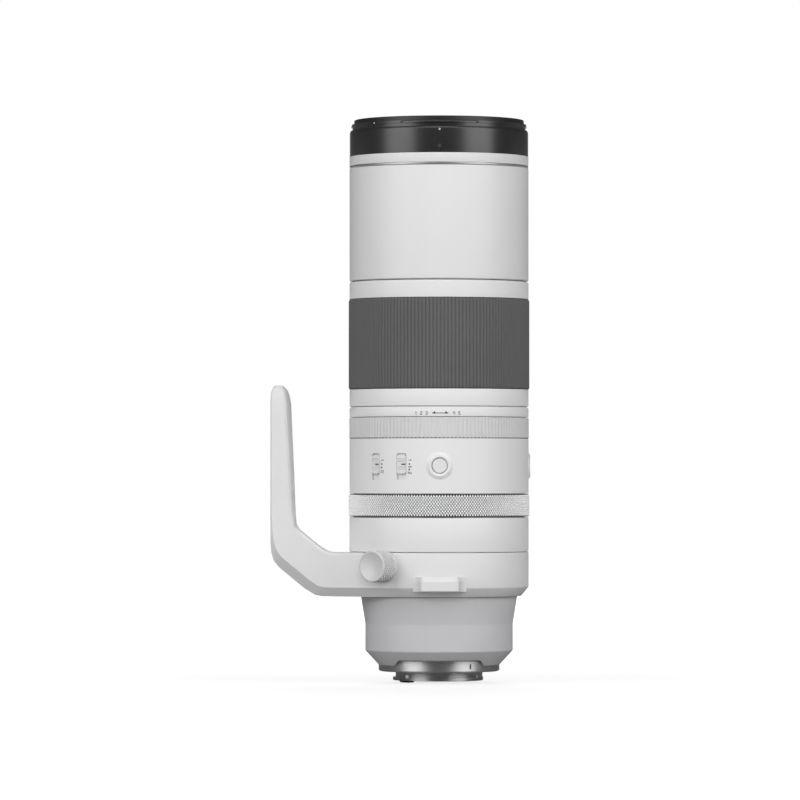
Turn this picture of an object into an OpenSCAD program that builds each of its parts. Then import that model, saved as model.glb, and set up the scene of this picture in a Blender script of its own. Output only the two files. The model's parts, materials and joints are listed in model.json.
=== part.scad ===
// Telephoto zoom lens, standing on its camera mount: +Z runs along the optical axis to the front,
// z = 0 is the face of the mount flange, and the tripod foot points to -X.

/* [Barrel] */
// Outer radius of the barrel and its rings
barrel_r = 51.15; // [50:0.05:53]
// Radial wall of the outer rings that turn on the fixed sleeve
ring_t = 1.95; // [1.7:0.05:2.2]
// Wall of the fixed sleeve
sleeve_t = 1.4; // [1.2:0.1:1.6]
// Wall of the cam tube
cam_t = 1.3; // [1.1:0.1:1.5]
// Wall of the extension tube
ext_t = 1.3; // [1.1:0.1:1.5]
// Wall of the guide tube
guide_t = 1.2; // [1.0:0.1:1.4]
// Running gap between curved faces that move past each other
run_gap = 0.3; // [0.25:0.05:0.4]
// Open seam between outer rings that turn past each other
seam = 0.3; // [0.2:0.05:0.5]

/* [Lengths along the axis] */
// Flange face to the lower edge of the tripod collar
rear_len = 42.9; // [41:0.1:46]
// Tripod collar
collar_len = 25.1; // [24:0.1:30]
// Fixed band between the collar and the control ring
rear_band_len = 20.3; // [18:0.1:26]
// Knurled control ring
control_len = 12.7; // [10:0.1:16]
// Switch panel
panel_len = 32; // [30:0.1:38]
// Ring that sets how stiffly the zoom turns
tension_len = 11.8; // [9:0.1:15]
// Fixed label band
label_len = 5.7; // [4:0.1:8]
// Zoom ring
zoom_len = 71.6; // [70:0.1:78]
// Front barrel with its white band
front_len = 71.4; // [66:0.1:80]
// Black hood mount at the front
hood_len = 20.9; // [20:0.1:24]

/* [Camera mount] */
// Outer radius of the mount flange
flange_r = 34.5; // [33:0.1:35.5]
// Thickness of the mount flange
flange_t = 6.5; // [5.5:0.1:7]
// Radius of the throat
throat_r = 22.8; // [22.4:0.1:23.2]
// Outer radius of the bayonet tube
bayonet_r = 25.15; // [24.9:0.05:25.4]
// How far the bayonet tube stands out of the flange
bayonet_len = 5.2; // [4.8:0.1:5.6]
// Outer radius of the bayonet lugs
lug_r = 26.35; // [26.1:0.05:26.8]
// Thickness of a bayonet lug
lug_t = 1.8; // [1.4:0.1:2.2]
// Radius of the circle on which the mount screws sit
mount_screw_pcd_r = 30; // [29:0.1:30.6]
// Number of mount screws
mount_screw_count = 4; // [3:1:6]
// How far the contact block stands out beyond the bayonet tube
contact_rise = 1.1; // [0.6:0.1:1.4]
// Number of contact pins
contact_count = 10; // [6:1:12]
// Radius of a contact pin
contact_pin_r = 0.75; // [0.5:0.05:0.9]

/* [Zoom] */
// How far the front barrel comes out
zoom_travel = 92; // [80:1:92]
// How far the zoom ring turns
zoom_turn = 120; // [100:1:120]
// How far the inner zoom group moves
group_travel = 40; // [30:1:42]
// Radius of the cam rollers
roller_r = 2.5; // [2:0.1:2.8]
// Gap between a roller and its slot
roller_gap = 0.3; // [0.25:0.05:0.4]
// Number of ribs on the zoom grip
grip_ribs = 144; // [90:1:160]
// Height of a rib on the zoom grip
grip_rib_h = 0.7; // [0.4:0.05:1]
// White band at each end of the zoom ring
zoom_band = 10; // [8:0.1:12]
// Number of ribs on the tension ring
tension_ribs = 150; // [90:1:180]

/* [Front] */
// How far the front rim lies inside the barrel's surface
hood_ring_t = 2.65; // [2.5:0.05:2.9]
// Wall between the front rim and the thread's bore, which takes a 95 mm filter
filter_wall = 1.55; // [1.4:0.05:1.7]
// Length of the filter thread
filter_len = 6; // [4:0.1:7]
// Depth of the groove behind the hood bayonet
groove_depth = 1.65; // [1.4:0.05:1.8]
// How far the hood bayonet tabs stay below the barrel's surface
tab_drop = 0.55; // [0.3:0.05:0.8]
// Step from the filter thread's bore to the front element's edge
lens_step = 1.45; // [1.3:0.05:1.9]

/* [Cells inside] */
// Radius of the seats of the focus and stabiliser elements
small_cell_r = 20; // [19:0.1:20.2]
// Step from the guide tube's bore to the seats of the zoom elements
zoom_cell_step = 9.8; // [9.5:0.1:12]

/* [Tripod foot] */
// Barrel axis to the outer face of the foot
foot_x = 96; // [92:0.5:110]
// Height of the foot's front end above the mount flange
foot_top = 163.2; // [140:0.1:175]
// Thickness of the foot plate
foot_t = 11.5; // [9:0.1:13]
// Width of the foot
foot_w = 34; // [28:0.5:40]
// Distance between the two tripod sockets
socket_pitch = 36.3; // [30:0.1:44]
// Radius of a tripod socket's bore
socket_r = 2.65; // [2.5:0.05:3]
// Depth of a tripod socket
socket_depth = 8; // [6:0.1:8.5]
// Edge bevel of the foot
foot_bevel = 3; // [1.5:0.1:4]

/* [Collar fittings] */
// Radius of the lock knob
knob_r = 9.15; // [8:0.05:10]
// Length of the knob, from its inner face to its dished end
knob_len = 12.3; // [10:0.1:18]
// Angle of the lock knob from the foot's side view, towards the foot
knob_a = 36.5; // [30:0.5:46]
// Height of the lock knob above the mount flange
knob_z = 60.5; // [59:0.1:60.5]
// Width of a strap lug at its base
strap_w = 28.6; // [24:0.1:32]
// Width of a strap lug's bar
strap_bar_w = 21.4; // [18:0.1:23]
// Height of a strap lug
strap_h = 8.5; // [6:0.1:10]
// Thickness of a strap lug's bar
strap_bar_t = 2.4; // [1.8:0.1:3]
// Clear depth of a strap slot
strap_slot = 4.65; // [4.4:0.05:6]

/* [Switches] */
// Width of a switch slot
slot_w = 6; // [5:0.1:7]
// Length of a switch slot
slot_len = 15.1; // [14:0.1:17]
// Length of a switch slider
slider_len = 10.8; // [9:0.1:11]
// How far a switch slides
switch_travel = 3; // [2:0.1:3.2]
// Angle of the focus switch from the camera side, towards the foot
focus_switch_a = 44.8; // [42:0.1:48]
// Angle of the stabiliser switch from the camera side, towards the foot
stabiliser_switch_a = 24.9; // [22:0.1:28]
// Radius of a function button
button_r = 4.15; // [3.5:0.05:4.4]
// How far a function button travels
button_travel = 0.8; // [0.4:0.05:0.9]
// Radius of the boss round a function button
boss_r = 7.8; // [7.2:0.1:8.2]

/* [Iris] */
// Number of iris blades
blade_count = 9; // [9:1:9]
// Radius of the open aperture
iris_open_r = 17; // [16:0.1:17.2]
// Width of a blade
blade_w = 5.7; // [5:0.1:5.8]
// Thickness of a blade
blade_t = 0.2; // [0.1:0.05:0.2]
// Distance from one blade to the next along the axis
blade_pitch = 0.35; // [0.3:0.01:0.4]
// How far a blade swings
blade_swing = 20; // [16:0.5:21]
// How far the iris ring turns
iris_turn = 24; // [20:0.5:25]

/* [Inner groups] */
// Travel of the focus group each way
focus_travel = 8; // [5:0.5:9]
// Travel of the stabiliser lens each way
shift_travel = 1; // [0.5:0.1:1.2]
// Radius of the focus guide rods
rod_r = 1.5; // [1.2:0.05:1.7]

/* [Hidden] */

$fn = 180;

// Colours
white = "#dedfe0";
light_grey = "#c8c9ca";
black = "#2a2a2c";
rubber = "#5f5f60";
metal = "#9a9a9c";
dark_metal = "#4a4a4d";
brass = "#c8a24a";
glass = [0.55, 0.65, 0.75, 0.5];
board_green = "#2f6b45";

// Levels along the axis
z_collar = rear_len;
z_rear_band = z_collar + collar_len;
z_control = z_rear_band + rear_band_len;
z_panel = z_control + control_len;
z_tension = z_panel + panel_len;
z_label = z_tension + tension_len;
z_zoom = z_label + label_len;
z_front = z_zoom + zoom_len;
z_hood = z_front + front_len;
z_end = z_hood + hood_len;

// Radii of the nested tubes, from the outside in
ring_ri = barrel_r - ring_t;
sleeve_ro = ring_ri - run_gap;
sleeve_ri = sleeve_ro - sleeve_t;
cam_ro = sleeve_ri - run_gap;
cam_ri = cam_ro - cam_t;
ext_ro = cam_ri - run_gap;
ext_ri = ext_ro - ext_t;
guide_ro = ext_ri - run_gap;
guide_ri = guide_ro - guide_t;
chassis_ri = guide_ri - 0.8;
zoom_cell_r = guide_ri - zoom_cell_step;
rim_r = barrel_r - hood_ring_t;
filter_r = rim_r - filter_wall;
front_lens_r = filter_r - lens_step;
groove_r = barrel_r - groove_depth;
tab_r = barrel_r - tab_drop;
glass_fit = 0.05;

// Rear end of the lens
cover_z = 3.8;
cover_fit = 0.1;
cover_r = barrel_r - 9.05;
cover_crease_r = cover_r + 0.1;
cover_shoulder_z = 11.9;
cover_crease_z = 26.6;
cover_top_r = guide_ro + 0.6;
cover_wall = 1.7;
cover_top_z = z_collar - seam;
cut_angle = 48;
cut_h = 2.2;
screw_head_r = 2.1;
screw_shank_r = 1.1;
screw_len = 5;
contact_ri = 16.6;
contact_span = 33;

// Chassis
bulkhead_z = z_panel + 4;
ledge_z = z_control + 0.7;
ledge_t = 3;
ledge_r = chassis_ri - 6;
cell_seat_z = z_collar + 1.1;
cell_flange_t = 3;
cell_r = 25;

// Zoom mechanism
cam_z0 = bulkhead_z + 2 + run_gap;
cam_z1 = z_front - seam;
guide_z1 = z_front;
ext_z0 = cam_z0 + 10;
roller_z = ext_z0 + 4.2;
roller_a = 30;
group_z = ext_z0 + 22.7;
group_offset_a = 50;
group_a = roller_a - group_offset_a;
slot_half = roller_r + roller_gap;
slot_steps = 8;
retain_z = cam_z0 + 4.7;
retain_r = 1.5;
retain_depth = 0.8;
ext_flange_z = z_front + 38;
ext_z1 = ext_flange_z + 2;

// Switch panel
panel_wall = 1.2;
panel_ri = barrel_r - panel_wall;
panel_lip = 3;
switch_z = z_panel + 15.55;
slider_top_z = switch_z + slot_len / 2 - 0.8;
slider_fit = 0.2;
slider_ridge_pitch = 1;
slot_corner = 1.2;
slider_plate_t = 0.5;
slider_proud = 0.9;
button_z = z_panel + 16;
button_proud = 0.8;
boss_proud = 1;
button_fit = 0.3;
button_plate_r = 5.2;
button_plate_t = 0.5;
recess_r = 5.25;
camera_side_a = 270;

// Tripod collar
collar_chamfer_w = 4.2;
collar_chamfer_h = 5.2;
arm_chamfer_h = collar_chamfer_h + 0.4;
knob_start = barrel_r + 1.05;
knob_end = knob_start + knob_len;
knob_stud_r = 2;
knob_stud_fit = 0.2;
foot_in = foot_x - foot_t;
arm_root_x = 20;
arm_bend_x = foot_x - 18;
arm_touch_r = barrel_r - 0.5;
arm_bend_r = sqrt(pow(arm_bend_x, 2) + pow(foot_w / 2, 2));
arm_touch_a = 180 - atan(foot_w / 2 / arm_bend_x) - acos(arm_touch_r / arm_bend_r);

// Iris
blade_seat_r = iris_open_r + 0.3;
pivot_r = iris_open_r + 8.5;
pivot_pin_r = 0.8;
drive_pin_r = 0.6;
drive_arm = 3.2;
pin_gap = 0.15;
blade_span = 120;
iris_base_z = bulkhead_z - 1.4;
iris_base_t = 2;
blade_z = iris_base_z + iris_base_t + 0.3;
iris_ring_z = blade_z + blade_count * blade_pitch + 0.2;
iris_ring_t = 1.4;
iris_ring_ri = 22.5;
iris_ring_ro = 29.5;

// Stabiliser and focus
shift_z = ledge_z + ledge_t;
shift_base_t = 2.2;
shift_step = 0.3;
shift_frame_t = 2;
rod_circle_r = chassis_ri - 3.7;
rod_z0 = cell_seat_z + cell_flange_t;
focus_z = rod_z0 + 13;
focus_len = 12;

module ring(ro, ri, z0, z1) {
    translate([0, 0, z0])
        difference() {
            cylinder(r = ro, h = z1 - z0);
            translate([0, 0, -1])
                cylinder(r = ri, h = z1 - z0 + 2);
        }
}

module turned(points) {
    rotate_extrude()
        polygon(points);
}

// A round bar that points away from the axis, from radius r0 to r1
module spoke(a, z, r, r0, r1) {
    rotate([0, 0, a])
        translate([r0, 0, z])
            rotate([0, 90, 0])
                cylinder(r = r, h = r1 - r0, $fn = 32);
}

module spokes(count, a, z, r, r0, r1) {
    for (i = [0 : count - 1])
        spoke(a + i * 360 / count, z, r, r0, r1);
}

// A straight slot along the axis with round ends
module axial_slot(a, z0, z1, half, r0, r1) {
    rotate([0, 0, a])
        translate([r0, -half, z0])
            cube([r1 - r0, 2 * half, z1 - z0]);
    spoke(a, z0, half, r0, r1);
    spoke(a, z1, half, r0, r1);
}

// A helical slot that climbs while it turns towards smaller angles
module cam_slot(a, z, rise, turn, half, r0, r1) {
    mid_r = (r0 + r1) / 2;
    arc = mid_r * turn * PI / 180;
    step = sqrt(arc * arc + rise * rise) / slot_steps;
    tilt = atan2(arc, rise);
    for (i = [0 : slot_steps - 1])
        rotate([0, 0, a - turn * (i + 0.5) / slot_steps])
            translate([mid_r, 0, z + rise * (i + 0.5) / slot_steps])
                rotate([tilt, 0, 0])
                    cube([r1 - r0, 2 * half, step + 1], center = true);
    spoke(a, z, half, r0, r1);
    spoke(a - turn, z + rise, half, r0, r1);
}

// Outline of a ribbed ring: each rib has a flat top and sloping sides
function rib_outline(r, h, count) = [
    for (i = [0 : count - 1], k = [0 : 3])
        let (a = (i + [0.02, 0.3, 0.52, 0.8][k]) * 360 / count,
             rr = r - (k == 1 || k == 2 ? 0 : h))
            [rr * cos(a), rr * sin(a)]
];

// Radius of the sphere whose cap has rim radius r and height bulge
function cap_radius(r, bulge) = (r * r + bulge * bulge) / (2 * abs(bulge));

module glass_sphere(z, r) {
    translate([0, 0, z])
        sphere(r = r, $fn = 360);
}

// Lens element with a rear edge plane at z; a positive bulge swells outwards, a negative one is hollow
module element(r, edge, bulge_front, bulge_rear, z) {
    front_rho = cap_radius(r, bulge_front);
    rear_rho = cap_radius(r, bulge_rear);
    low = z - max(bulge_rear, 0);
    high = z + edge + max(bulge_front, 0);
    difference() {
        translate([0, 0, low])
            cylinder(r = r, h = high - low);
        if (bulge_front > 0)
            difference() {
                translate([0, 0, z + edge])
                    cylinder(r = r + 1, h = bulge_front + 1);
                glass_sphere(high - front_rho, front_rho);
            }
        if (bulge_front < 0)
            glass_sphere(z + edge + bulge_front + front_rho, front_rho);
        if (bulge_rear > 0)
            difference() {
                translate([0, 0, low - 1])
                    cylinder(r = r + 1, h = bulge_rear + 1);
                glass_sphere(low + rear_rho, rear_rho);
            }
        if (bulge_rear < 0)
            glass_sphere(z - bulge_rear - rear_rho, rear_rho);
    }
}

module bayonet_mount() {
    lug_span = 52;
    color(metal)
        difference() {
            union() {
                turned([[throat_r, 0], [flange_r - 0.5, 0], [flange_r, 0.5], [flange_r, flange_t], [throat_r, flange_t]]);
                ring(bayonet_r, throat_r, -bayonet_len, 0.5);
                for (i = [0 : 2])
                    rotate([0, 0, 180 - lug_span / 2 + i * 120])
                        rotate_extrude(angle = lug_span)
                            translate([throat_r + 0.5, 0.1 - bayonet_len])
                                square([lug_r - throat_r - 0.5, lug_t]);
            }
            for (i = [0 : mount_screw_count - 1])
                rotate([0, 0, 45 + i * 360 / mount_screw_count])
                    translate([mount_screw_pcd_r, 0, 0]) {
                        translate([0, 0, -1])
                            cylinder(r = screw_shank_r, h = flange_t + 2, $fn = 32);
                        translate([0, 0, -1])
                            cylinder(r = screw_head_r, h = 2.6, $fn = 32);
                    }
        }
}

module mount_screws() {
    color(dark_metal)
        for (i = [0 : mount_screw_count - 1])
            rotate([0, 0, 45 + i * 360 / mount_screw_count])
                translate([mount_screw_pcd_r, 0, 0])
                    difference() {
                        union() {
                            translate([0, 0, 0.2])
                                cylinder(r = screw_head_r - 0.1, h = 1.4, $fn = 32);
                            translate([0, 0, 1])
                                cylinder(r = screw_shank_r - 0.1, h = screw_len + 2, $fn = 32);
                        }
                        translate([-1.4, -0.25, 0])
                            cube([2.8, 0.5, 0.8]);
                        translate([-0.25, -1.4, 0])
                            cube([0.5, 2.8, 0.8]);
                    }
}

module contact_block() {
    color(black)
        rotate([0, 0, 180 - contact_span])
            rotate_extrude(angle = 2 * contact_span)
                polygon([[contact_ri, -bayonet_len - contact_rise + 0.8], [contact_ri + 0.8, -bayonet_len - contact_rise],
                         [throat_r - 0.2, -bayonet_len - contact_rise], [throat_r - 0.2, flange_t - 3.2], [contact_ri, flange_t - 3.2]]);
}

module contact_pins() {
    color(brass)
        for (i = [0 : contact_count - 1])
            rotate([0, 0, 180 + (i - (contact_count - 1) / 2) * (2 * contact_span - 8) / (contact_count - 1)])
                translate([(contact_ri + throat_r) / 2 + 0.3, 0, -bayonet_len - contact_rise - 0.15])
                    cylinder(r = contact_pin_r, h = 0.15, $fn = 24);
}

module rear_cover() {
    color(white)
        difference() {
            turned([[flange_r + cover_fit, cover_z], [cover_r, cover_shoulder_z], [cover_r, cover_crease_z],
                    [cover_crease_r, cover_crease_z + 0.1],
                    [(cover_crease_r + cover_top_r) / 2 - 0.35, (cover_crease_z + cover_top_z) / 2],
                    [cover_top_r, cover_top_z],
                    [cover_top_r - cover_wall, cover_top_z],
                    [cover_r - cover_wall, cover_crease_z], [cover_r - cover_wall, cover_shoulder_z + 0.3],
                    [flange_r + 0.7, flange_t], [flange_r + cover_fit, flange_t]]);
            rotate([0, 0, camera_side_a - cut_angle])
                rotate_extrude(angle = 2 * cut_angle)
                    translate([flange_r - 1, cover_z - 1])
                        square([6, cut_h + 1]);
        }
}

module chassis() {
    color(dark_metal)
        difference() {
            turned([[throat_r + 0.8, flange_t], [flange_r + 0.5, flange_t], [cover_r - cover_wall - 0.3, cover_shoulder_z + 0.6],
                    [cover_r - cover_wall - 0.3, cover_crease_z], [cover_top_r - cover_wall - 0.3, cover_top_z],
                    [guide_ro, cover_top_z], [guide_ro, z_control - 4.5], [sleeve_ro, z_control - 1.8],
                    [sleeve_ro, bulkhead_z], [chassis_ri, bulkhead_z], [chassis_ri, shift_z], [ledge_r, shift_z],
                    [ledge_r, ledge_z], [chassis_ri, ledge_z], [chassis_ri, cell_seat_z],
                    [chassis_ri - 1.8, cell_seat_z], [cover_r - cover_wall - 2.2, cover_crease_z],
                    [cover_r - cover_wall - 2.2, cover_shoulder_z + 1.4], [flange_r - 0.3, flange_t + 2.8],
                    [throat_r + 0.8, flange_t + 2.8]]);
            for (i = [0 : mount_screw_count - 1])
                rotate([0, 0, 45 + i * 360 / mount_screw_count])
                    translate([mount_screw_pcd_r, 0, flange_t - 1])
                        cylinder(r = screw_shank_r, h = 5, $fn = 32);
        }
}

module rear_band() {
    color(white)
        turned([[guide_ro, z_rear_band + seam], [barrel_r, z_rear_band + seam], [barrel_r, z_control],
                [sleeve_ro, z_control], [sleeve_ro, z_control - 1.6], [barrel_r - 1.8, z_control - 3.5],
                [barrel_r - 1.8, z_rear_band + 2], [guide_ro, z_rear_band + 2]]);
}

module rear_cell() {
    tail_r = contact_ri - 0.4;
    lens_seat = 14;
    color(black)
        turned([[lens_seat, 0.5], [tail_r, 0.5], [tail_r, flange_t - 3], [throat_r - 0.4, flange_t - 3],
                [throat_r - 0.4, flange_t + 0.1], [throat_r + 0.5, flange_t + 0.1], [throat_r + 0.5, 10], [cell_r, 12],
                [cell_r, 32], [cell_r + 2, 32], [cell_r + 2, 34], [cell_r, 34], [cell_r, cell_seat_z],
                [chassis_ri - 0.2, cell_seat_z], [chassis_ri - 0.2, rod_z0], [cell_r - 4.6, rod_z0],
                [cell_r - 4.6, 12], [lens_seat, 8]]);
}

module rear_lenses() {
    color(glass) {
        element(cell_r - 4.7, 4, 2.5, -1.8, 16);
        element(cell_r - 4.7, 3, -2, 2.4, 30);
    }
}

module main_board() {
    color(board_green)
        difference() {
            ring(cover_r - cover_wall - 2.5, cell_r + 0.2, 34, 35.6);
            translate([30, -8, 33])
                cube([12, 16, 4]);
        }
    color(black)
        for (a = [100, 190, 300])
            rotate([0, 0, a])
                translate([28, -4, 35.6])
                    cube([8, 8, 1.4]);
}

module guide_rods() {
    color(metal)
        for (a = [0, 180])
            rotate([0, 0, a])
                translate([rod_circle_r, 0, rod_z0])
                    cylinder(r = rod_r, h = ledge_z - rod_z0, $fn = 32);
}

module focus_carriage() {
    cell = small_cell_r;
    color(black)
        difference() {
            union() {
                ring(cell + 3, cell, focus_z, focus_z + focus_len);
                for (a = [0, 180])
                    rotate([0, 0, a])
                        translate([cell + 1, -4, focus_z + 2])
                            cube([rod_circle_r + 2.8 - cell - 1, 8, focus_len - 4]);
                rotate([0, 0, 90])
                    translate([cell + 1, -5, focus_z + 3])
                        cube([chassis_ri - 5.8 - cell - 1, 10, 4]);
            }
            for (a = [0, 180])
                rotate([0, 0, a])
                    translate([rod_circle_r, 0, focus_z])
                        cylinder(r = rod_r + 0.06, h = focus_len, $fn = 32);
        }
}

module focus_lens() {
    color(glass)
        element(small_cell_r - glass_fit, 5.4, -2.2, -1.6, focus_z + 3);
}

module focus_motor() {
    color(dark_metal)
        rotate([0, 0, 90])
            intersection() {
                translate([chassis_ri - 5.5, -6, rod_z0 + 1])
                    cube([6, 12, ledge_z - rod_z0 - 3]);
                cylinder(r = chassis_ri - 0.1, h = ledge_z);
            }
}

module shift_base() {
    z = shift_z;
    color(dark_metal) {
        difference() {
            ring(chassis_ri - 0.2, small_cell_r + 4, z, z + shift_base_t);
            for (i = [0 : 2])
                rotate([0, 0, 60 + i * 120])
                    translate([chassis_ri - 3.5, 0, z - 1])
                        cylinder(r = 1.2, h = shift_base_t + 2, $fn = 24);
        }
        for (i = [0 : 3])
            rotate([0, 0, 45 + i * 90])
                translate([chassis_ri - 5.5, -4, z + shift_base_t])
                    cube([3, 8, 3]);
    }
}

module shift_guide_frame() {
    z = shift_z + shift_base_t + shift_step;
    color(metal)
        ring(chassis_ri - 9, small_cell_r + 6, z, z + shift_frame_t);
}

module shift_lens_frame() {
    z = shift_z + shift_base_t + 2 * shift_step + shift_frame_t;
    color(black) {
        ring(chassis_ri - 11, small_cell_r + 1.5, z, z + shift_frame_t);
        ring(small_cell_r + 4, small_cell_r, z - 2, z + shift_frame_t + 1.4);
    }
    color(brass)
        for (a = [0, 90, 180, 270])
            rotate([0, 0, a])
                translate([small_cell_r + 4.5, -4, z + shift_frame_t])
                    cube([5.5, 8, 1]);
}

module shift_lens() {
    z = shift_z + shift_base_t + 2 * shift_step + shift_frame_t;
    color(glass)
        element(small_cell_r - glass_fit, 3, 1.2, -1, z - 1.8);
}

module iris_housing() {
    color(dark_metal)
        difference() {
            union() {
                ring(chassis_ri - 0.1, iris_open_r, iris_base_z, iris_base_z + iris_base_t);
                ring(iris_ring_ro + 2, iris_ring_ro + run_gap, iris_base_z + iris_base_t - 0.5, iris_ring_z + iris_ring_t + 0.4);
            }
            for (i = [0 : blade_count - 1])
                rotate([0, 0, i * 360 / blade_count])
                    translate([pivot_r, 0, iris_base_z + 0.4])
                        cylinder(r = pivot_pin_r + 0.1, h = iris_base_t, $fn = 24);
        }
}

// Place of a drive pin for a part of the swing from 0 to 1, seen from the iris ring as it turns
function drive_point(t) =
    let (b = blade_swing * t,
         x = pivot_r + drive_arm * sin(b),
         y = -drive_arm * cos(b),
         a = -iris_turn * t)
        [x * cos(a) - y * sin(a), x * sin(a) + y * cos(a)];

// Side of a drive slot, half its width away from the pin's path
function slot_side(t, side) =
    let (p = drive_point(t - 0.01), q = drive_point(t + 0.01), c = drive_point(t),
         d = (q - p) / norm(q - p))
        c + side * (drive_pin_r + pin_gap) * [-d[1], d[0]];

module iris_ring() {
    slot_points = 8;
    color(metal)
        difference() {
            ring(iris_ring_ro, iris_ring_ri, iris_ring_z, iris_ring_z + iris_ring_t);
            for (i = [0 : blade_count - 1])
                rotate([0, 0, i * 360 / blade_count])
                    translate([0, 0, iris_ring_z - 1]) {
                        linear_extrude(height = iris_ring_t + 2)
                            polygon(concat([for (k = [0 : slot_points]) slot_side(k / slot_points, 1)],
                                           [for (k = [slot_points : -1 : 0]) slot_side(k / slot_points, -1)]));
                        for (t = [0, 1])
                            translate(concat(drive_point(t), [0]))
                                cylinder(r = drive_pin_r + pin_gap, h = iris_ring_t + 2, $fn = 24);
                    }
        }
}

module iris_blade(i) {
    z = blade_z + i * blade_pitch;
    half = chassis_ri;
    color(black)
        rotate([0, 0, i * 360 / blade_count]) {
            translate([0, 0, z])
                linear_extrude(height = blade_t)
                    difference() {
                        union() {
                            difference() {
                                circle(r = blade_seat_r + blade_w);
                                rotate([0, 0, blade_span])
                                    translate([-half, 0])
                                        square([2 * half, half]);
                                translate([-half, -half])
                                    square([2 * half, half]);
                            }
                            translate([pivot_r - 4.5, -drive_arm - 1.2])
                                square([5.6, drive_arm + 2.6]);
                        }
                        circle(r = blade_seat_r);
                    }
            translate([pivot_r, 0, iris_base_z + 0.6])
                cylinder(r = pivot_pin_r, h = z - iris_base_z - 0.4, $fn = 24);
            translate([pivot_r, -drive_arm, z])
                cylinder(r = drive_pin_r, h = iris_ring_z + iris_ring_t - z, $fn = 24);
        }
}

module guide_tube() {
    color(dark_metal)
        difference() {
            union() {
                ring(guide_ro, guide_ri, bulkhead_z, guide_z1);
                ring(cam_ro, guide_ri, bulkhead_z, bulkhead_z + 2);
            }
            for (k = [0 : 2]) {
                axial_slot(roller_a + k * 120, roller_z, roller_z + zoom_travel, slot_half, guide_ri - 1, guide_ro + 1);
                axial_slot(group_a + k * 120, group_z, group_z + group_travel, slot_half, guide_ri - 1, guide_ro + 1);
            }
        }
}

module fixed_sleeve() {
    color(dark_metal)
        difference() {
            ring(sleeve_ro, sleeve_ri, bulkhead_z, z_zoom);
            spokes(3, 90, retain_z, retain_r + 0.05, sleeve_ri - 1, sleeve_ro + 1);
            for (a = [camera_side_a, 0])
                spoke(a, button_z, button_plate_r + 0.4, sleeve_ro - 0.7, sleeve_ro + 1);
            for (k = [0 : 2])
                rotate([0, 0, k * 120])
                    translate([sleeve_ri - 1, -5.2, z_tension + 3])
                        cube([sleeve_t + 2, 10.4, 5.4]);
        }
}

module cam_retaining_pins() {
    color(metal)
        spokes(3, 90, retain_z, retain_r, cam_ro - retain_depth + 0.25, sleeve_ro);
}

module tension_pads() {
    color(rubber)
        intersection() {
            ring(sleeve_ro, sleeve_ri, z_tension + 3.2, z_tension + 8.2);
            for (k = [0 : 2])
                rotate([0, 0, k * 120])
                    translate([sleeve_ri - 1, -5, z_tension + 3])
                        cube([sleeve_t + 2, 10, 6]);
        }
}

module rounded_outline(len, width, corner) {
    square([len - 2 * corner, width], center = true);
    square([len, width - 2 * corner], center = true);
    for (x = [-1, 1], y = [-1, 1])
        translate([x * (len / 2 - corner), y * (width / 2 - corner)])
            circle(r = corner, $fn = 24);
}

module panel_slot(a) {
    rotate([0, 0, camera_side_a - a])
        translate([panel_ri - 1, 0, switch_z])
            rotate([0, 90, 0])
                linear_extrude(height = panel_wall + 2)
                    rounded_outline(slot_len, slot_w, slot_corner);
}

module button_boss(a) {
    rotate([0, 0, a])
        translate([panel_ri + 0.2, 0, button_z])
            rotate([0, 90, 0])
                cylinder(r1 = boss_r + 0.4, r2 = boss_r - 0.9, h = barrel_r + boss_proud - panel_ri - 0.2, $fn = 64);
}

module switch_panel() {
    color(white)
        difference() {
            union() {
                turned([[sleeve_ro, z_panel + seam], [barrel_r, z_panel + seam], [barrel_r, z_tension],
                        [sleeve_ro, z_tension], [sleeve_ro, z_tension - panel_lip], [panel_ri, z_tension - panel_lip],
                        [panel_ri, z_panel + seam + panel_lip], [sleeve_ro, z_panel + seam + panel_lip]]);
                button_boss(camera_side_a);
                button_boss(0);
            }
            panel_slot(focus_switch_a);
            panel_slot(stabiliser_switch_a);
            for (a = [camera_side_a, 0]) {
                spoke(a, button_z, button_r + button_fit, panel_ri - 1, barrel_r + 3);
                spoke(a, button_z, recess_r, barrel_r + 0.2, barrel_r + 3);
                spoke(a, button_z, boss_r + 1, panel_ri - 1, panel_ri);
            }
        }
}

module slider(a) {
    plate_r = panel_ri - 0.25;
    color(light_grey)
        rotate([0, 0, camera_side_a - a]) {
            intersection() {
                translate([plate_r - slider_plate_t - 1, -slot_w / 2 - 1, slider_top_z - slider_len - 4])
                    cube([slider_plate_t + 1, slot_w + 2, slider_len + 7.5]);
                ring(plate_r, plate_r - slider_plate_t, 0, z_zoom);
            }
            intersection() {
                translate([plate_r - 0.4, 0, slider_top_z - slider_len / 2])
                    rotate([0, 90, 0])
                        linear_extrude(height = 6)
                            rounded_outline(slider_len, slot_w - 2 * slider_fit, slot_corner);
                difference() {
                    ring(barrel_r + slider_proud, plate_r - 0.4, 0, z_zoom);
                    for (k = [0 : 3], s = [-1, 1])
                        translate([0, 0, slider_top_z - slider_len / 2 + s * (1.6 + k * slider_ridge_pitch)])
                            rotate_extrude()
                                translate([barrel_r + slider_proud, 0])
                                    rotate(45)
                                        square(0.5, center = true);
                }
            }
        }
}

module focus_switch() {
    slider(focus_switch_a);
}

module stabiliser_switch() {
    slider(stabiliser_switch_a);
}

module button(a) {
    plate_r = panel_ri - 0.15;
    color(light_grey) {
        spoke(a, button_z, button_r, plate_r - 0.3, barrel_r + button_proud);
        spoke(a, button_z, button_plate_r, plate_r - button_plate_t, plate_r - 0.05);
    }
}

module front_button() {
    button(camera_side_a);
}

module side_button() {
    button(0);
}

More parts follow.
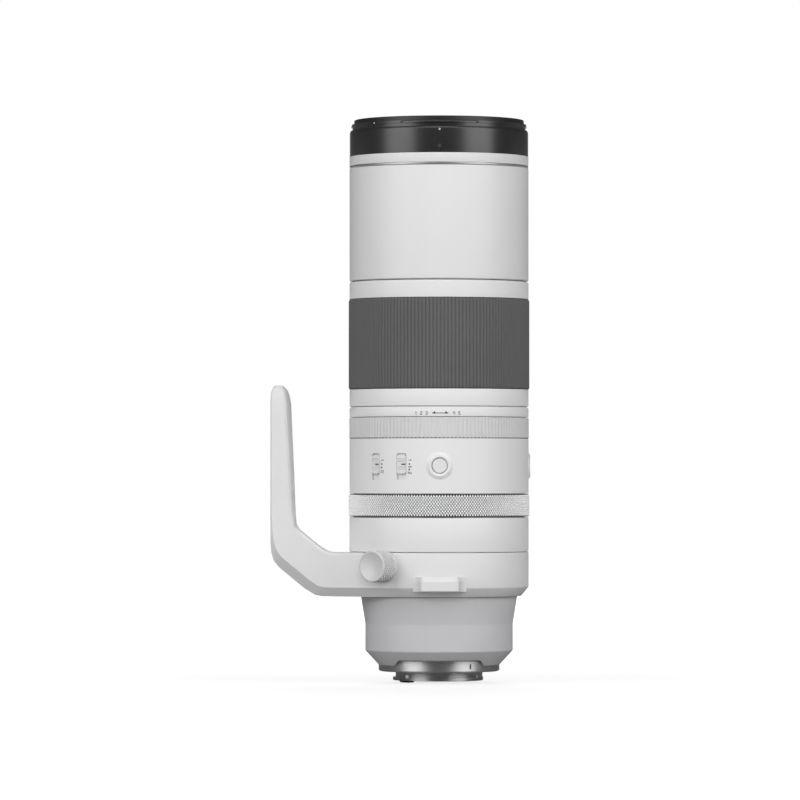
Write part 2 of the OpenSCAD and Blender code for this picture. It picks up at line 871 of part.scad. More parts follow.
module control_ring() {
    columns = 90;
    rows = 4;
    depth = 0.5;
    edge = 0.8;
    z0 = z_control + seam;
    z1 = z_panel;
    row_h = (z1 - z0 - 2 * edge) / rows;
    color(light_grey)
        difference() {
            translate([0, 0, z0])
                linear_extrude(height = z1 - z0)
                    difference() {
                        polygon(rib_outline(barrel_r + 0.45, depth, columns));
                        circle(r = ring_ri);
                    }
            for (i = [0 : rows])
                translate([0, 0, z0 + edge + i * row_h])
                    rotate_extrude()
                        polygon([[barrel_r + 1, -0.9], [barrel_r - 0.1, 0], [barrel_r + 1, 0.9]]);
        }
}

module tension_ring() {
    color(light_grey)
        translate([0, 0, z_tension + seam])
            difference() {
                union() {
                    translate([0, 0, 0.6])
                        linear_extrude(height = tension_len - 2 * seam - 1.2)
                            polygon(rib_outline(barrel_r + 0.1, 0.35, tension_ribs));
                    cylinder(r = barrel_r - 0.2, h = tension_len - 2 * seam);
                }
                translate([0, 0, -1])
                    cylinder(r = ring_ri, h = tension_len + 2);
            }
}

module label_band() {
    color(white)
        ring(barrel_r, sleeve_ro, z_label, z_zoom);
}

module zoom_ring() {
    land = 6;
    z0 = z_zoom + seam;
    z1 = z_front - seam;
    color(white)
        turned([[cam_ro, z0], [barrel_r, z0], [barrel_r, z_zoom + zoom_band], [barrel_r - 1.2, z_zoom + zoom_band],
                [barrel_r - 1.2, z_front - zoom_band], [barrel_r, z_front - zoom_band], [barrel_r, z1 - 0.5],
                [barrel_r - 0.5, z1], [cam_ro, z1], [cam_ro, z1 - land], [cam_ro + 1.2, z1 - land],
                [cam_ro + 1.2, z0 + land], [cam_ro, z0 + land]]);
}

module zoom_grip() {
    z0 = z_zoom + zoom_band;
    z1 = z_front - zoom_band;
    rib_end = 1.2;
    color(rubber)
        difference() {
            union() {
                translate([0, 0, z0 + rib_end])
                    linear_extrude(height = z1 - z0 - 2 * rib_end)
                        polygon(rib_outline(barrel_r + 0.45, grip_rib_h, grip_ribs));
                translate([0, 0, z0])
                    cylinder(r = barrel_r - 0.1, h = z1 - z0);
            }
            translate([0, 0, z0 - 1])
                cylinder(r = barrel_r - 1.2, h = z1 - z0 + 2);
        }
}

module cam_tube() {
    color(metal)
        difference() {
            ring(cam_ro, cam_ri, cam_z0, cam_z1);
            rotate_extrude()
                translate([cam_ro - retain_depth, retain_z - retain_r - 0.3])
                    square([2, 2 * retain_r + 0.6]);
            for (k = [0 : 2]) {
                cam_slot(roller_a + k * 120, roller_z, zoom_travel, zoom_turn, slot_half, cam_ri - 1, cam_ro + 1);
                cam_slot(group_a + k * 120, group_z, group_travel, zoom_turn, slot_half, cam_ri - 1, cam_ro + 1);
            }
        }
}

module extension_tube() {
    color(white)
        difference() {
            union() {
                ring(ext_ro, ext_ri, ext_z0, ext_z1);
                ring(barrel_r - 2.2, ext_ri, ext_flange_z, ext_z1);
            }
            spokes(3, roller_a, roller_z, 1.5, ext_ri - 1, ext_ro + 1);
            for (k = [0 : 2])
                axial_slot(group_a + k * 120, ext_z0 - 5, group_z, slot_half, ext_ri - 1, ext_ro + 1);
        }
}

module cam_rollers() {
    color(metal) {
        spokes(3, roller_a, roller_z, 1.45, guide_ri + 0.3, cam_ro - 0.2);
        spokes(3, roller_a, roller_z, roller_r, guide_ri + 0.2, guide_ro + 0.1);
        spokes(3, roller_a, roller_z, roller_r, cam_ri - 0.1, cam_ro - 0.2);
    }
}

module zoom_carriage() {
    half_len = 12;
    ro = guide_ri - run_gap;
    color(black)
        difference() {
            union() {
                ring(ro, ro - 2, group_z - half_len, group_z + half_len);
                ring(ro - 1, zoom_cell_r, group_z - 3, group_z + 3);
                ring(zoom_cell_r + 3, zoom_cell_r, group_z - half_len, group_z + half_len);
            }
            spokes(3, group_a, group_z, 1.5, ro - 1.8, ro + 1);
        }
}

module zoom_rollers() {
    ro = guide_ri - run_gap;
    color(metal) {
        spokes(3, group_a, group_z, 1.45, ro - 1.7, cam_ro - 0.2);
        spokes(3, group_a, group_z, roller_r, guide_ri, cam_ro - 0.2);
    }
}

module zoom_lenses() {
    color(glass) {
        element(zoom_cell_r - glass_fit, 7, -3, -2.4, group_z - 10);
        element(zoom_cell_r - glass_fit, 3, 2.6, -1.2, group_z + 5);
    }
}

module front_barrel() {
    accent_z = z_hood - 6.9;
    color(white)
        turned([[barrel_r - 2.2, z_front + seam], [barrel_r - 0.5, z_front + seam], [barrel_r, z_front + seam + 0.5],
                [barrel_r, accent_z], [barrel_r - 0.9, accent_z], [barrel_r - 0.9, accent_z + 1.5],
                [barrel_r, accent_z + 1.5], [barrel_r, z_hood], [barrel_r - 2.2, z_hood],
                [barrel_r - 2.2, ext_z1 + 0.1], [barrel_r - 2.15, ext_flange_z], [ext_ro + 0.3, ext_flange_z],
                [ext_ro + 0.3, ext_flange_z - 2], [barrel_r - 2.2, ext_flange_z - 3]]);
}

module accent_ring() {
    accent_z = z_hood - 6.9;
    color(metal)
        ring(barrel_r - 0.15, barrel_r - 0.9, accent_z + 0.05, accent_z + 1.45);
}

module hood_mount_ring() {
    z1 = z_end - 6;
    tab_z = z_end - 4;
    tab_span = 50;
    color(black)
        union() {
            turned([[rim_r + 0.1, z_hood], [barrel_r - 0.15, z_hood], [barrel_r - 0.15, z1 - 0.4], [barrel_r - 0.55, z1],
                    [groove_r, z1], [groove_r, tab_z], [groove_r + 0.4, tab_z], [groove_r + 0.4, tab_z + 1.4],
                    [rim_r + 0.1, tab_z + 1.4]]);
            for (i = [0 : 2])
                rotate([0, 0, camera_side_a - tab_span / 2 + i * 120])
                    rotate_extrude(angle = tab_span)
                        translate([groove_r - 0.2, tab_z])
                            square([tab_r - groove_r + 0.2, 1.4]);
        }
}

module filter_ring() {
    seat_z = z_hood;
    color(black)
        turned([[front_lens_r - 1.2, z_end - filter_len - 2.2], [filter_r - 1.0, z_end - filter_len - 2.2],
                [filter_r - 1.0, seat_z], [rim_r, seat_z], [rim_r, z_end - 0.3], [rim_r - 0.3, z_end],
                [filter_r + 0.3, z_end], [filter_r, z_end - 0.3], [filter_r, z_end - filter_len],
                [front_lens_r - 1.2, z_end - filter_len]]);
}

module front_cell() {
    z0 = ext_z1;
    z1 = z_hood + 8;
    color(black)
        turned([[ext_ri, z0], [barrel_r - 2.3, z0], [barrel_r - 2.3, z_hood], [front_lens_r + 0.3, z_hood],
                [front_lens_r + 0.3, z1], [front_lens_r, z1], [front_lens_r, z_hood - 2.4], [front_lens_r - 2, z_hood - 2.4],
                [front_lens_r - 2, z0 + 4], [ext_ri, z0 + 4]]);
}

module front_lenses() {
    color(glass) {
        element(front_lens_r - 0.05, 5, 5.5, 1.5, z_hood - 2.2);
        element(front_lens_r - 2.05, 4, -3, -1.2, z_hood - 17);
        element(front_lens_r - 2.05, 5, 2.5, 3, z_hood - 26);
    }
}

module arm_side() {
    translate([0, foot_w / 2 + barrel_r, 0])
        rotate([90, 0, 0])
            linear_extrude(height = foot_w + 2 * barrel_r)
                polygon([[-arm_root_x, z_collar], [-foot_x + 28, z_collar], [-foot_x + 20, z_collar + 3.2],
                         [-foot_x + 4, z_collar + 16.9], [-foot_x + 0.3, z_collar + 24.3],
                         [-foot_x, z_collar + 31.8], [-foot_x, foot_top - 8.2],
                         [-foot_x + 0.6, foot_top - 3.4], [-foot_x + 1.9, foot_top - 0.3],
                         [-foot_x + 2.4, foot_top], [-foot_in - 3.9, foot_top],
                         [-foot_in - 0.9, foot_top - 6.3], [-foot_in, foot_top - 11.4],
                         [-foot_in + 2.9, z_collar + 43.2], [-foot_in + 3.7, z_collar + 39.2],
                         [-foot_in + 18, z_collar + 26.6], [-foot_in + 22.6, z_rear_band - 0.5],
                         [-arm_root_x, z_rear_band - 0.5]]);
}

module arm_plan() {
    half = foot_w / 2;
    touch = [arm_touch_r * cos(arm_touch_a), arm_touch_r * sin(arm_touch_a)];
    linear_extrude(height = foot_top + 1)
        polygon([[-foot_x, -half + foot_bevel], [-foot_x + foot_bevel, -half], [-arm_bend_x, -half],
                 [touch[0], -touch[1]], [-arm_root_x, -guide_ro + 6], [-arm_root_x, guide_ro - 6], touch,
                 [-arm_bend_x, half], [-foot_x + foot_bevel, half], [-foot_x, half - foot_bevel]]);
}

module arm_chamfer() {
    beyond = 1;
    start = -foot_w / 2;
    step = collar_chamfer_w * beyond / arm_chamfer_h;
    rotate([0, 0, arm_touch_a])
        mirror([0, 1, 0])
            rotate([90, 0, 0])
                translate([0, 0, start])
                    linear_extrude(height = foot_x)
                        polygon([[arm_touch_r - collar_chamfer_w - step, z_collar - beyond],
                                 [arm_touch_r + step, z_collar + arm_chamfer_h + beyond],
                                 [arm_touch_r + foot_w, z_collar + arm_chamfer_h + beyond],
                                 [arm_touch_r + foot_w, z_collar - beyond]]);
}

module tripod_collar() {
    boss_end = barrel_r + 0.75;
    color(white)
        difference() {
            union() {
                turned([[guide_ro + run_gap, z_collar], [barrel_r - collar_chamfer_w, z_collar],
                        [barrel_r, z_collar + collar_chamfer_h], [barrel_r, z_rear_band],
                        [guide_ro + run_gap, z_rear_band]]);
                spoke(camera_side_a - knob_a, knob_z, knob_r - 2, barrel_r - 4, boss_end);
                difference() {
                    intersection() {
                        arm_side();
                        arm_plan();
                    }
                    arm_chamfer();
                    mirror([0, 1, 0])
                        arm_chamfer();
                }
            }
            translate([0, 0, z_collar - 1])
                cylinder(r = guide_ro + run_gap, h = collar_len + 2);
            spoke(camera_side_a - knob_a, knob_z, knob_r + 0.5, boss_end, knob_end);
            spoke(camera_side_a - knob_a, knob_z, knob_stud_r + knob_stud_fit, guide_ro - 2, boss_end + 1);
            for (s = [-1, 1])
                translate([-foot_x - 1, 0, foot_top - 53.85 + s * socket_pitch / 2])
                    rotate([0, 90, 0])
                        cylinder(r = socket_r, h = socket_depth + 1);
        }
}

module lock_knob() {
    ribs = 44;
    color(light_grey)
        rotate([0, 0, camera_side_a - knob_a])
            translate([knob_start, 0, knob_z])
                rotate([0, 90, 0])
                    difference() {
                        union() {
                            cylinder(r = knob_r - 0.6, h = knob_len);
                            translate([0, 0, 1.2])
                                linear_extrude(height = knob_len - 2.4)
                                    polygon(rib_outline(knob_r, 0.45, ribs));
                        }
                        translate([0, 0, knob_len + 28.9])
                            sphere(r = 30);
                    }
}

module knob_stud() {
    color(metal)
        rotate([0, 0, camera_side_a - knob_a])
            translate([guide_ro + run_gap, 0, knob_z])
                rotate([0, 90, 0])
                    cylinder(r = knob_stud_r, h = knob_start - guide_ro - run_gap, $fn = 32);
}

module strap_lugs() {
    bar_out = barrel_r + strap_slot + strap_bar_t;
    color(white)
        for (a = [0, 180])
            rotate([0, 0, a])
                translate([0, 0, z_collar + 3.2])
                    difference() {
                        linear_extrude(height = strap_h)
                            difference() {
                                polygon([[-strap_w / 2, -barrel_r + 3.5], [-strap_w / 2, -barrel_r + 1.5],
                                         [-strap_bar_w / 2, -bar_out], [strap_bar_w / 2, -bar_out],
                                         [strap_w / 2, -barrel_r + 1.5], [strap_w / 2, -barrel_r + 3.5]]);
                                circle(r = barrel_r + 0.05);
                                translate([-strap_bar_w / 2 + 0.7, -barrel_r - strap_slot])
                                    square([strap_bar_w - 1.4, strap_slot + 4]);
                            }
                        translate([0, -bar_out, strap_h])
                            rotate([45, 0, 0])
                                cube([strap_w + 2, 3, 3], center = true);
                    }
}

bayonet_mount();
mount_screws();
contact_block();
contact_pins();
rear_cover();
rear_cell();
rear_lenses();
main_board();
chassis();
rear_band();
guide_rods();
focus_carriage();
focus_lens();
focus_motor();
shift_base();
shift_guide_frame();
shift_lens_frame();
shift_lens();
iris_housing();
iris_ring();
iris_blade(0);  // iris_blade_1
iris_blade(1);  // iris_blade_2
iris_blade(2);  // iris_blade_3
iris_blade(3);  // iris_blade_4
iris_blade(4);  // iris_blade_5
iris_blade(5);  // iris_blade_6
iris_blade(6);  // iris_blade_7
iris_blade(7);  // iris_blade_8
iris_blade(8);  // iris_blade_9
guide_tube();
fixed_sleeve();
cam_retaining_pins();
switch_panel();
focus_switch();
stabiliser_switch();
front_button();
side_button();
control_ring();
tension_ring();
tension_pads();
label_band();
zoom_ring();
zoom_grip();
cam_tube();
extension_tube();
cam_rollers();
zoom_carriage();
zoom_rollers();
zoom_lenses();
front_barrel();
accent_ring();
hood_mount_ring();
filter_ring();
front_cell();
front_lenses();
tripod_collar();
lock_knob();
knob_stud();
strap_lugs();
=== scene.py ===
import json
import math
import bpy
import bmesh
from mathutils import Matrix, Vector


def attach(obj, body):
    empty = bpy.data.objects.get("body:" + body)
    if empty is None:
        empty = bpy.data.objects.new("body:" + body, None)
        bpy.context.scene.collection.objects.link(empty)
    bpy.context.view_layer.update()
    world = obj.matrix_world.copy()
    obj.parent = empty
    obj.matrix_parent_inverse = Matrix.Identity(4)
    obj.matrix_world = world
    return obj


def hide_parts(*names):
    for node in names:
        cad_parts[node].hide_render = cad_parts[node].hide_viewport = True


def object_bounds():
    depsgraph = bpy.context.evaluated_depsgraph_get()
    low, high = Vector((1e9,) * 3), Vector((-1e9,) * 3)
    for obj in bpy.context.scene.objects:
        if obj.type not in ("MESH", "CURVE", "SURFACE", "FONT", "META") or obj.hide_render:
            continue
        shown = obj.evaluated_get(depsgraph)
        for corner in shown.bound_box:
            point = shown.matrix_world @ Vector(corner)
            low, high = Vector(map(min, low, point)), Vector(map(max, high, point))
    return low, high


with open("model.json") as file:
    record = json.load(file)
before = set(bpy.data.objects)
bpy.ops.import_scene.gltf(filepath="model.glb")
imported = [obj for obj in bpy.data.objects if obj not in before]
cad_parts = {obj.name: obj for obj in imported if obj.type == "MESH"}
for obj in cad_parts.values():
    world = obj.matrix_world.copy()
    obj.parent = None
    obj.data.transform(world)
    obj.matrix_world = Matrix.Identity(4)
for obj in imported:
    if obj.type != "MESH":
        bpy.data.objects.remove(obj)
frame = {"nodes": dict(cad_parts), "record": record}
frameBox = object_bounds()
print("frame loaded:", len(frame["nodes"]), "nodes")

mm = 0.001
frontAngle = 270  # the side of the lens that faces the camera
barrelRadius = 51.15

# heights of the seams between the outer rings, in millimetres above the flange
seamLine = {"rearBand": 68.0, "control": 88.3, "panel": 101.0, "tension": 132.5, "label": 144.8,
    "zoom": 150.5, "front": 222.1, "hood": 293.5, "gap": 0.3}


# Camera, light, floor and background

def aimAt(item, place, target):
    item.location = place
    item.rotation_euler = (Vector(target) - Vector(place)).to_track_quat("-Z", "Y").to_euler()
    bpy.context.scene.collection.objects.link(item)


camera = {"place": (-0.022, -3.167, 0.1118), "aim": (-0.0223, 0.0, 0.1547), "focal": 249.4, "sensor": 36.0}
cameraData = bpy.data.cameras.new("viewCamera")
cameraData.lens = camera["focal"]
cameraData.sensor_width = camera["sensor"]
cameraData.clip_end = 60
viewCamera = bpy.data.objects.new("viewCamera", cameraData)
aimAt(viewCamera, camera["place"], camera["aim"])
bpy.context.scene.camera = viewCamera

lampAim = (0, 0, 0.45)
softBoxes = {
    "leftBox": {"turn": -52, "height": 1.15, "away": 2.2, "size": (1.7, 2.4), "watts": 35, "shine": True},
    "rightBox": {"turn": 52, "height": 1.15, "away": 2.2, "size": (1.7, 2.4), "watts": 35, "shine": True},
    "fillBox": {"turn": 0, "height": 0.75, "away": 2.6, "size": (1.2, 1.2), "watts": 24, "shine": False},
    "topBox": {"turn": 0, "height": 2.1, "away": 1.3, "size": (1.3, 0.5), "watts": 6, "shine": True},
    "backBox": {"turn": 180, "height": 1.4, "away": 2.2, "size": (1.4, 1.2), "watts": 46, "shine": False},
}
for name, box in softBoxes.items():
    lamp = bpy.data.lights.new(name, "AREA")
    lamp.shape = "RECTANGLE"
    lamp.size, lamp.size_y = box["size"]
    lamp.energy = box["watts"]
    lampObject = bpy.data.objects.new(name, lamp)
    turn = math.radians(box["turn"])
    aimAt(lampObject, (math.sin(turn) * box["away"], -math.cos(turn) * box["away"], box["height"]), lampAim)
    lampObject.visible_camera = False
    lampObject.visible_glossy = box["shine"]


# sets a node's inputs: an input takes a plain value, or a link from another node's output
def feed(tree, node, inputs):
    for key, value in inputs.items():
        if isinstance(value, bpy.types.NodeSocket):
            tree.links.new(value, node.inputs[key])
        else:
            node.inputs[key].default_value = value
    return node


def addNode(tree, kind, inputs=None, operation=None):
    node = tree.nodes.new("ShaderNode" + kind)
    if operation:
        node.operation = operation
    return feed(tree, node, inputs or {})


def newMaterial(name):
    made = bpy.data.materials.new(name)
    made.use_nodes = True
    return made, made.node_tree, addNode(made.node_tree, "TexCoord").outputs["Object"]


bpy.context.scene.view_settings.view_transform = "Standard"
world = bpy.data.worlds.new("studio")
bpy.context.scene.world = world
world.use_nodes = True
tree = world.node_tree
tree.nodes.clear()
rays = addNode(tree, "LightPath").outputs
roomLight = addNode(tree, "Background", {"Color": (0.97, 0.985, 1.0, 1), "Strength": 0.03})
backdrop = addNode(tree, "Background", {"Color": (1, 1, 1, 1), "Strength": 1.0})
axes = addNode(tree, "SeparateXYZ", {0: addNode(tree, "TexCoord").outputs["Generated"]})
# white cloth behind the lens, dark room around the camera
behind = addNode(tree, "MapRange", {"Value": axes.outputs["Y"], "From Min": 0.93, "From Max": 1.0,
    "To Min": 0.10, "To Max": 0.9})
mirrored = addNode(tree, "Background", {"Strength": behind.outputs["Result"]})
seen = roomLight
for ray, light in (("Is Glossy Ray", mirrored), ("Is Transmission Ray", backdrop), ("Is Camera Ray", backdrop)):
    seen = addNode(tree, "MixShader", {0: rays[ray], 1: seen.outputs[0], 2: light.outputs[0]})
addNode(tree, "OutputWorld", {"Surface": seen.outputs[0]})


def faceOutwards(bm):
    bm.normal_update()
    bmesh.ops.recalc_face_normals(bm, faces=bm.faces)
    if bm.calc_volume(signed=True) < 0:
        bmesh.ops.reverse_faces(bm, faces=bm.faces)


# every shape's faces are turned outwards before it becomes an object
def addObject(name, bm, faceMaterial=None):
    faceOutwards(bm)
    mesh = bpy.data.meshes.new(name)
    bm.to_mesh(mesh)
    bm.free()
    piece = bpy.data.objects.new(name, mesh)
    bpy.context.scene.collection.objects.link(piece)
    if faceMaterial:
        mesh.materials.append(faceMaterial)
    return piece


floorPlate = bmesh.new()
bmesh.ops.create_grid(floorPlate, x_segments=1, y_segments=1, size=30)
bmesh.ops.translate(floorPlate, verts=floorPlate.verts, vec=(0, 0, frameBox[0][2] - 0.0002))
floorPaper, tree, place = newMaterial("floorPaper")
rays = addNode(tree, "LightPath").outputs
# distance from the lens: the paper turns pure white further out
span = addNode(tree, "VectorMath", {0: place}, operation="LENGTH")
fade = addNode(tree, "MapRange", {"Value": span.outputs["Value"], "From Min": 0.12, "From Max": 0.8,
    "To Min": 0.8, "To Max": 1.0})
# metal sees white paper behind the lens, a darker room before it
axes = addNode(tree, "SeparateXYZ", {0: place})
behind = addNode(tree, "MapRange", {"Value": axes.outputs["Y"], "From Min": 0.2, "From Max": 1.6})
seen = addNode(tree, "Math", {0: rays["Is Camera Ray"], 1: rays["Is Transmission Ray"]}, operation="MAXIMUM")
seenGlow = addNode(tree, "Math", {0: seen.outputs[0], 1: fade.outputs["Result"]}, operation="MULTIPLY")
glow = addNode(tree, "Math", {0: rays["Is Glossy Ray"], 1: behind.outputs["Result"], 2: seenGlow.outputs[0]},
    operation="MULTIPLY_ADD")
light = addNode(tree, "Emission", {"Strength": glow.outputs[0]})
paper = feed(tree, tree.nodes["Principled BSDF"], {"Base Color": (0.22, 0.22, 0.22, 1), "Roughness": 0.9,
    "Specular IOR Level": 0.0})
both = addNode(tree, "AddShader", {0: paper.outputs[0], 1: light.outputs[0]})
feed(tree, tree.nodes["Material Output"], {"Surface": both.outputs[0]})
addObject("floorPaper", floorPlate, floorPaper)
print("camera, lights and floor set")


# Finishes

cloudy = {"scale": 35, "detail": 4}  # slow change of tone over a surface
grainy = {"detail": 3, "toneShare": 0.35}  # fine grain, and its share in the change of tone
noiseRange = (0.3, 0.7)


def newFinish(name, look):
    made, tree, place = newMaterial(name)
    stretched = addNode(tree, "Mapping", {"Vector": place, "Scale": look.get("stretch", (1, 1, 1))})
    cloud = addNode(tree, "TexNoise", {"Vector": place, "Scale": cloudy["scale"], "Detail": cloudy["detail"]})
    grain = addNode(tree, "TexNoise", {"Vector": stretched.outputs["Vector"], "Scale": look["grainScale"],
        "Detail": grainy["detail"]}).outputs["Fac"]
    cloudShare = addNode(tree, "Math", {0: cloud.outputs["Fac"], 1: 1 - grainy["toneShare"]},
        operation="MULTIPLY")
    blend = addNode(tree, "Math", {0: grain, 1: grainy["toneShare"], 2: cloudShare.outputs[0]},
        operation="MULTIPLY_ADD").outputs[0]
    tone = addNode(tree, "ValToRGB", {"Fac": blend})
    for i, side in enumerate((-1, 1)):
        tone.color_ramp.elements[i].position = noiseRange[i]
        tone.color_ramp.elements[i].color = [c * (1 + side * look["spread"]) for c in look["colour"]] + [1]
    colour = tone.outputs["Color"]
    if "hollow" in look:  # painted shade: the colour darkens between the raised points of a knurl
        hollow = look["hollow"]
        flat = addNode(tree, "VectorMath", {0: place, 1: (1, 1, 0)}, operation="MULTIPLY")
        reach = addNode(tree, "VectorMath", {0: flat.outputs["Vector"]}, operation="LENGTH")
        depth = addNode(tree, "MapRange", {"Value": reach.outputs["Value"], "From Min": hollow["low"] * mm,
            "From Max": hollow["high"] * mm, "To Min": hollow["share"]})
        shade = addNode(tree, "VectorMath", {0: colour}, operation="SCALE")
        colour = feed(tree, shade, {"Scale": depth.outputs["Result"]}).outputs["Vector"]
    roughSpread = look.get("roughSpread", 0.04)
    gloss = addNode(tree, "MapRange", {"Value": blend, "From Min": noiseRange[0], "From Max": noiseRange[1],
        "To Min": look["roughness"] - roughSpread, "To Max": look["roughness"] + roughSpread})
    relief = addNode(tree, "Bump", {"Height": grain, "Strength": look["bump"], "Distance": look["bumpDepth"]})
    shader = feed(tree, tree.nodes["Principled BSDF"], {
        "Base Color": colour, "Roughness": gloss.outputs["Result"], "Normal": relief.outputs["Normal"],
        "Metallic": look.get("metallic", 0), "Specular IOR Level": look.get("specular", 0.5)})
    if "turned" in look:  # fine turning grooves run about the axis
        grooves = addNode(tree, "Tangent")
        grooves.direction_type = "RADIAL"
        grooves.axis = "Z"
        feed(tree, shader, {"Tangent": grooves.outputs["Tangent"], "Anisotropic": look["turned"],
            "Anisotropic Rotation": 0.25})
    return made


paint = {"roughness": 0.42, "grainScale": 1500, "bump": 0.12, "bumpDepth": 0.00008, "spread": 0.012,
    "specular": 0.4}
plastic = {"roughness": 0.38, "grainScale": 2200, "bump": 0.1, "bumpDepth": 0.00006, "spread": 0.02}
black = {"roughness": 0.42, "grainScale": 3000, "bump": 0.12, "bumpDepth": 0.00005, "spread": 0.12}
metal = {"roughness": 0.5, "grainScale": 1500, "bump": 0.06, "bumpDepth": 0.00004, "spread": 0.05,
    "metallic": 1.0}
mark = {"roughness": 0.5, "grainScale": 3000, "bump": 0.05, "bumpDepth": 0.00002, "spread": 0.08}
finishes = {
    "whitePaint": {**paint, "colour": (0.745, 0.745, 0.745)},
    # the white paint made darker for the front barrel: painted shade against the stronger light up there
    "frontPaint": {**paint, "colour": (0.68, 0.68, 0.68)},
    "collarPaint": {**paint, "colour": (0.705, 0.705, 0.705)},
    # the white paint made darker for the rear cover: painted shade under the collar, with a slight blue tint
    "rearPaint": {**paint, "colour": (0.56, 0.56, 0.572), "roughness": 0.45},
    "greyPaint": {**paint, "colour": (0.60, 0.60, 0.605), "grainScale": 1800, "spread": 0.02},
    # the knurl's finish: lighter than the white paint on the crests, a painted highlight, and darkened to 6% in
    # the hollows, painted shade
    "knurlPaint": {**paint, "colour": (0.95, 0.95, 0.955), "roughness": 0.4, "grainScale": 1800,
                   "spread": 0.02, "bumpDepth": 0.00006, "hollow": {"low": 50.95, "high": 51.4, "share": 0.06}},
    # dark grey of the blocks in the tension ring's groove ends: painted shade
    "stopGrey": {**plastic, "colour": (0.24, 0.24, 0.24), "roughness": 0.5, "grainScale": 1800,
                 "bumpDepth": 0.00005, "spread": 0.06},
    "switchPlastic": {**plastic, "colour": (0.70, 0.70, 0.705)},
    "knobPlastic": {**plastic, "colour": (0.60, 0.60, 0.605), "roughness": 0.36},
    "blackPaint": {**black, "colour": (0.015, 0.015, 0.0155), "roughness": 0.3, "grainScale": 2400,
                   "bump": 0.15, "spread": 0.1, "specular": 0.72},
    "blackAnodised": {**black, "colour": (0.016, 0.016, 0.017), "metallic": 0.2},
    "blackPlastic": {**black, "colour": (0.022, 0.022, 0.023), "roughness": 0.5, "grainScale": 2600,
                     "bump": 0.15, "bumpDepth": 0.00006},
    "bladeBlack": {**black, "colour": (0.024, 0.024, 0.025), "roughness": 0.55, "grainScale": 4000,
                   "bump": 0.08, "bumpDepth": 0.00003, "spread": 0.1, "metallic": 0.5},
    "gripRubber": {"colour": (0.112, 0.112, 0.113), "roughness": 0.66, "grainScale": 2600, "bump": 0.2,
                   "bumpDepth": 0.00008, "spread": 0.06, "specular": 0.3, "roughSpread": 0.06},
    "mountMetal": {**metal, "colour": (0.71, 0.71, 0.715), "turned": 0.88, "grainScale": 260,
                   "stretch": (1, 1, 40), "bump": 0.02, "bumpDepth": 0.000004, "spread": 0.04},
    "accentMetal": {**metal, "colour": (0.46, 0.46, 0.465), "roughness": 0.46, "grainScale": 400,
                    "stretch": (1, 1, 20), "bump": 0.05, "bumpDepth": 0.00003, "spread": 0.04},
    "darkSteel": {**metal, "colour": (0.16, 0.16, 0.165), "roughness": 0.34, "grainScale": 1800,
                  "bump": 0.08, "spread": 0.08},
    "steel": {**metal, "colour": (0.56, 0.565, 0.57), "roughness": 0.3},
    "brightSteel": {**metal, "colour": (0.9, 0.9, 0.9), "bump": 0.1, "metallic": 0.75},
    "castAlloy": {**metal, "colour": (0.42, 0.42, 0.425), "grainScale": 900, "bump": 0.2, "bumpDepth": 0.0001,
                  "spread": 0.06, "metallic": 0.9},
    "contactGold": {**metal, "colour": (0.86, 0.62, 0.26), "roughness": 0.24, "grainScale": 2500,
                    "bumpDepth": 0.00003},
    "boardGreen": {"colour": (0.03, 0.17, 0.075), "roughness": 0.42, "grainScale": 700, "bump": 0.1,
                   "bumpDepth": 0.00005, "spread": 0.25},
    "markBlack": {**mark, "colour": (0.035, 0.035, 0.037), "roughness": 0.6, "spread": 0.1},
    "markRed": {**mark, "colour": (0.10, 0.014, 0.018)},
    "markPale": {**mark, "colour": (0.42, 0.36, 0.36)},
}
material = {name: newFinish(name, look) for name, look in finishes.items()}

# turned metal on flat faces shows rings about the axis
turnedMetal = newFinish("turnedMetal", finishes["mountMetal"])
tree = turnedMetal.node_tree
rings = addNode(tree, "TexWave", {"Vector": addNode(tree, "TexCoord").outputs["Object"], "Scale": 380,
    "Distortion": 0.6, "Detail": 2})
rings.wave_type = "RINGS"
rings.rings_direction = "Z"
relief = addNode(tree, "Bump", {"Height": rings.outputs["Fac"], "Strength": 0.1, "Distance": 0.00003})
feed(tree, tree.nodes["Principled BSDF"], {"Normal": relief.outputs["Normal"]})
material["turnedMetal"] = turnedMetal

coatedGlass, tree, place = newMaterial("coatedGlass")
haze = addNode(tree, "TexNoise", {"Vector": place, "Scale": 60}).outputs["Fac"]
tint = addNode(tree, "ValToRGB", {"Fac": haze})
tint.color_ramp.elements[0].color = (0.90, 0.94, 0.95, 1)
tint.color_ramp.elements[1].color = (0.95, 0.97, 0.99, 1)
gloss = addNode(tree, "MapRange", {"Value": haze, "To Min": 0.0, "To Max": 0.02})
feed(tree, tree.nodes["Principled BSDF"], {
    "Base Color": tint.outputs["Color"], "Roughness": gloss.outputs["Result"], "Transmission Weight": 1.0,
    "IOR": 1.52, "Thin Film Thickness": 420, "Thin Film IOR": 1.38})
material["coatedGlass"] = coatedGlass


# a record slot such as white_paint takes the finish whitePaint
def finishOf(slot):
    if slot == "grey_plastic":
        return "switchPlastic"
    first, *others = slot.split("_")
    return first + "".join(word.title() for word in others)


for part in frame["record"]["subparts"]:
    for place in frame["nodes"][part["node"]].material_slots:
        place.material = material[finishOf(part["material_slot"])]
print("finishes made:", len(material))


# Shared ways of making a piece

aboutAxis = {"cent": (0, 0, 0), "axis": (0, 0, 1), "dvec": (0, 0, 0)}


def placed(x, y, z):
    return Matrix.Translation((x * mm, y * mm, z * mm))


def turned(degrees, axis="Z"):
    return Matrix.Rotation(math.radians(degrees), 4, axis)


# lays an upright shape down so that it points outwards from the axis
def aimOut(turn, height, out=0):
    return turned(turn) @ placed(out, 0, height) @ turned(90, "Y")


def onCircle(radius, turn):
    return placed(radius * math.cos(math.radians(turn)), radius * math.sin(math.radians(turn)), 0)


def move(bm, matrix):
    bmesh.ops.transform(bm, matrix=matrix, verts=bm.verts)


# a point's distance from the axis, its angle and its height
def polar(v):
    return math.hypot(v.co.x, v.co.y) / mm, math.degrees(math.atan2(v.co.y, v.co.x)) % 360, v.co.z / mm


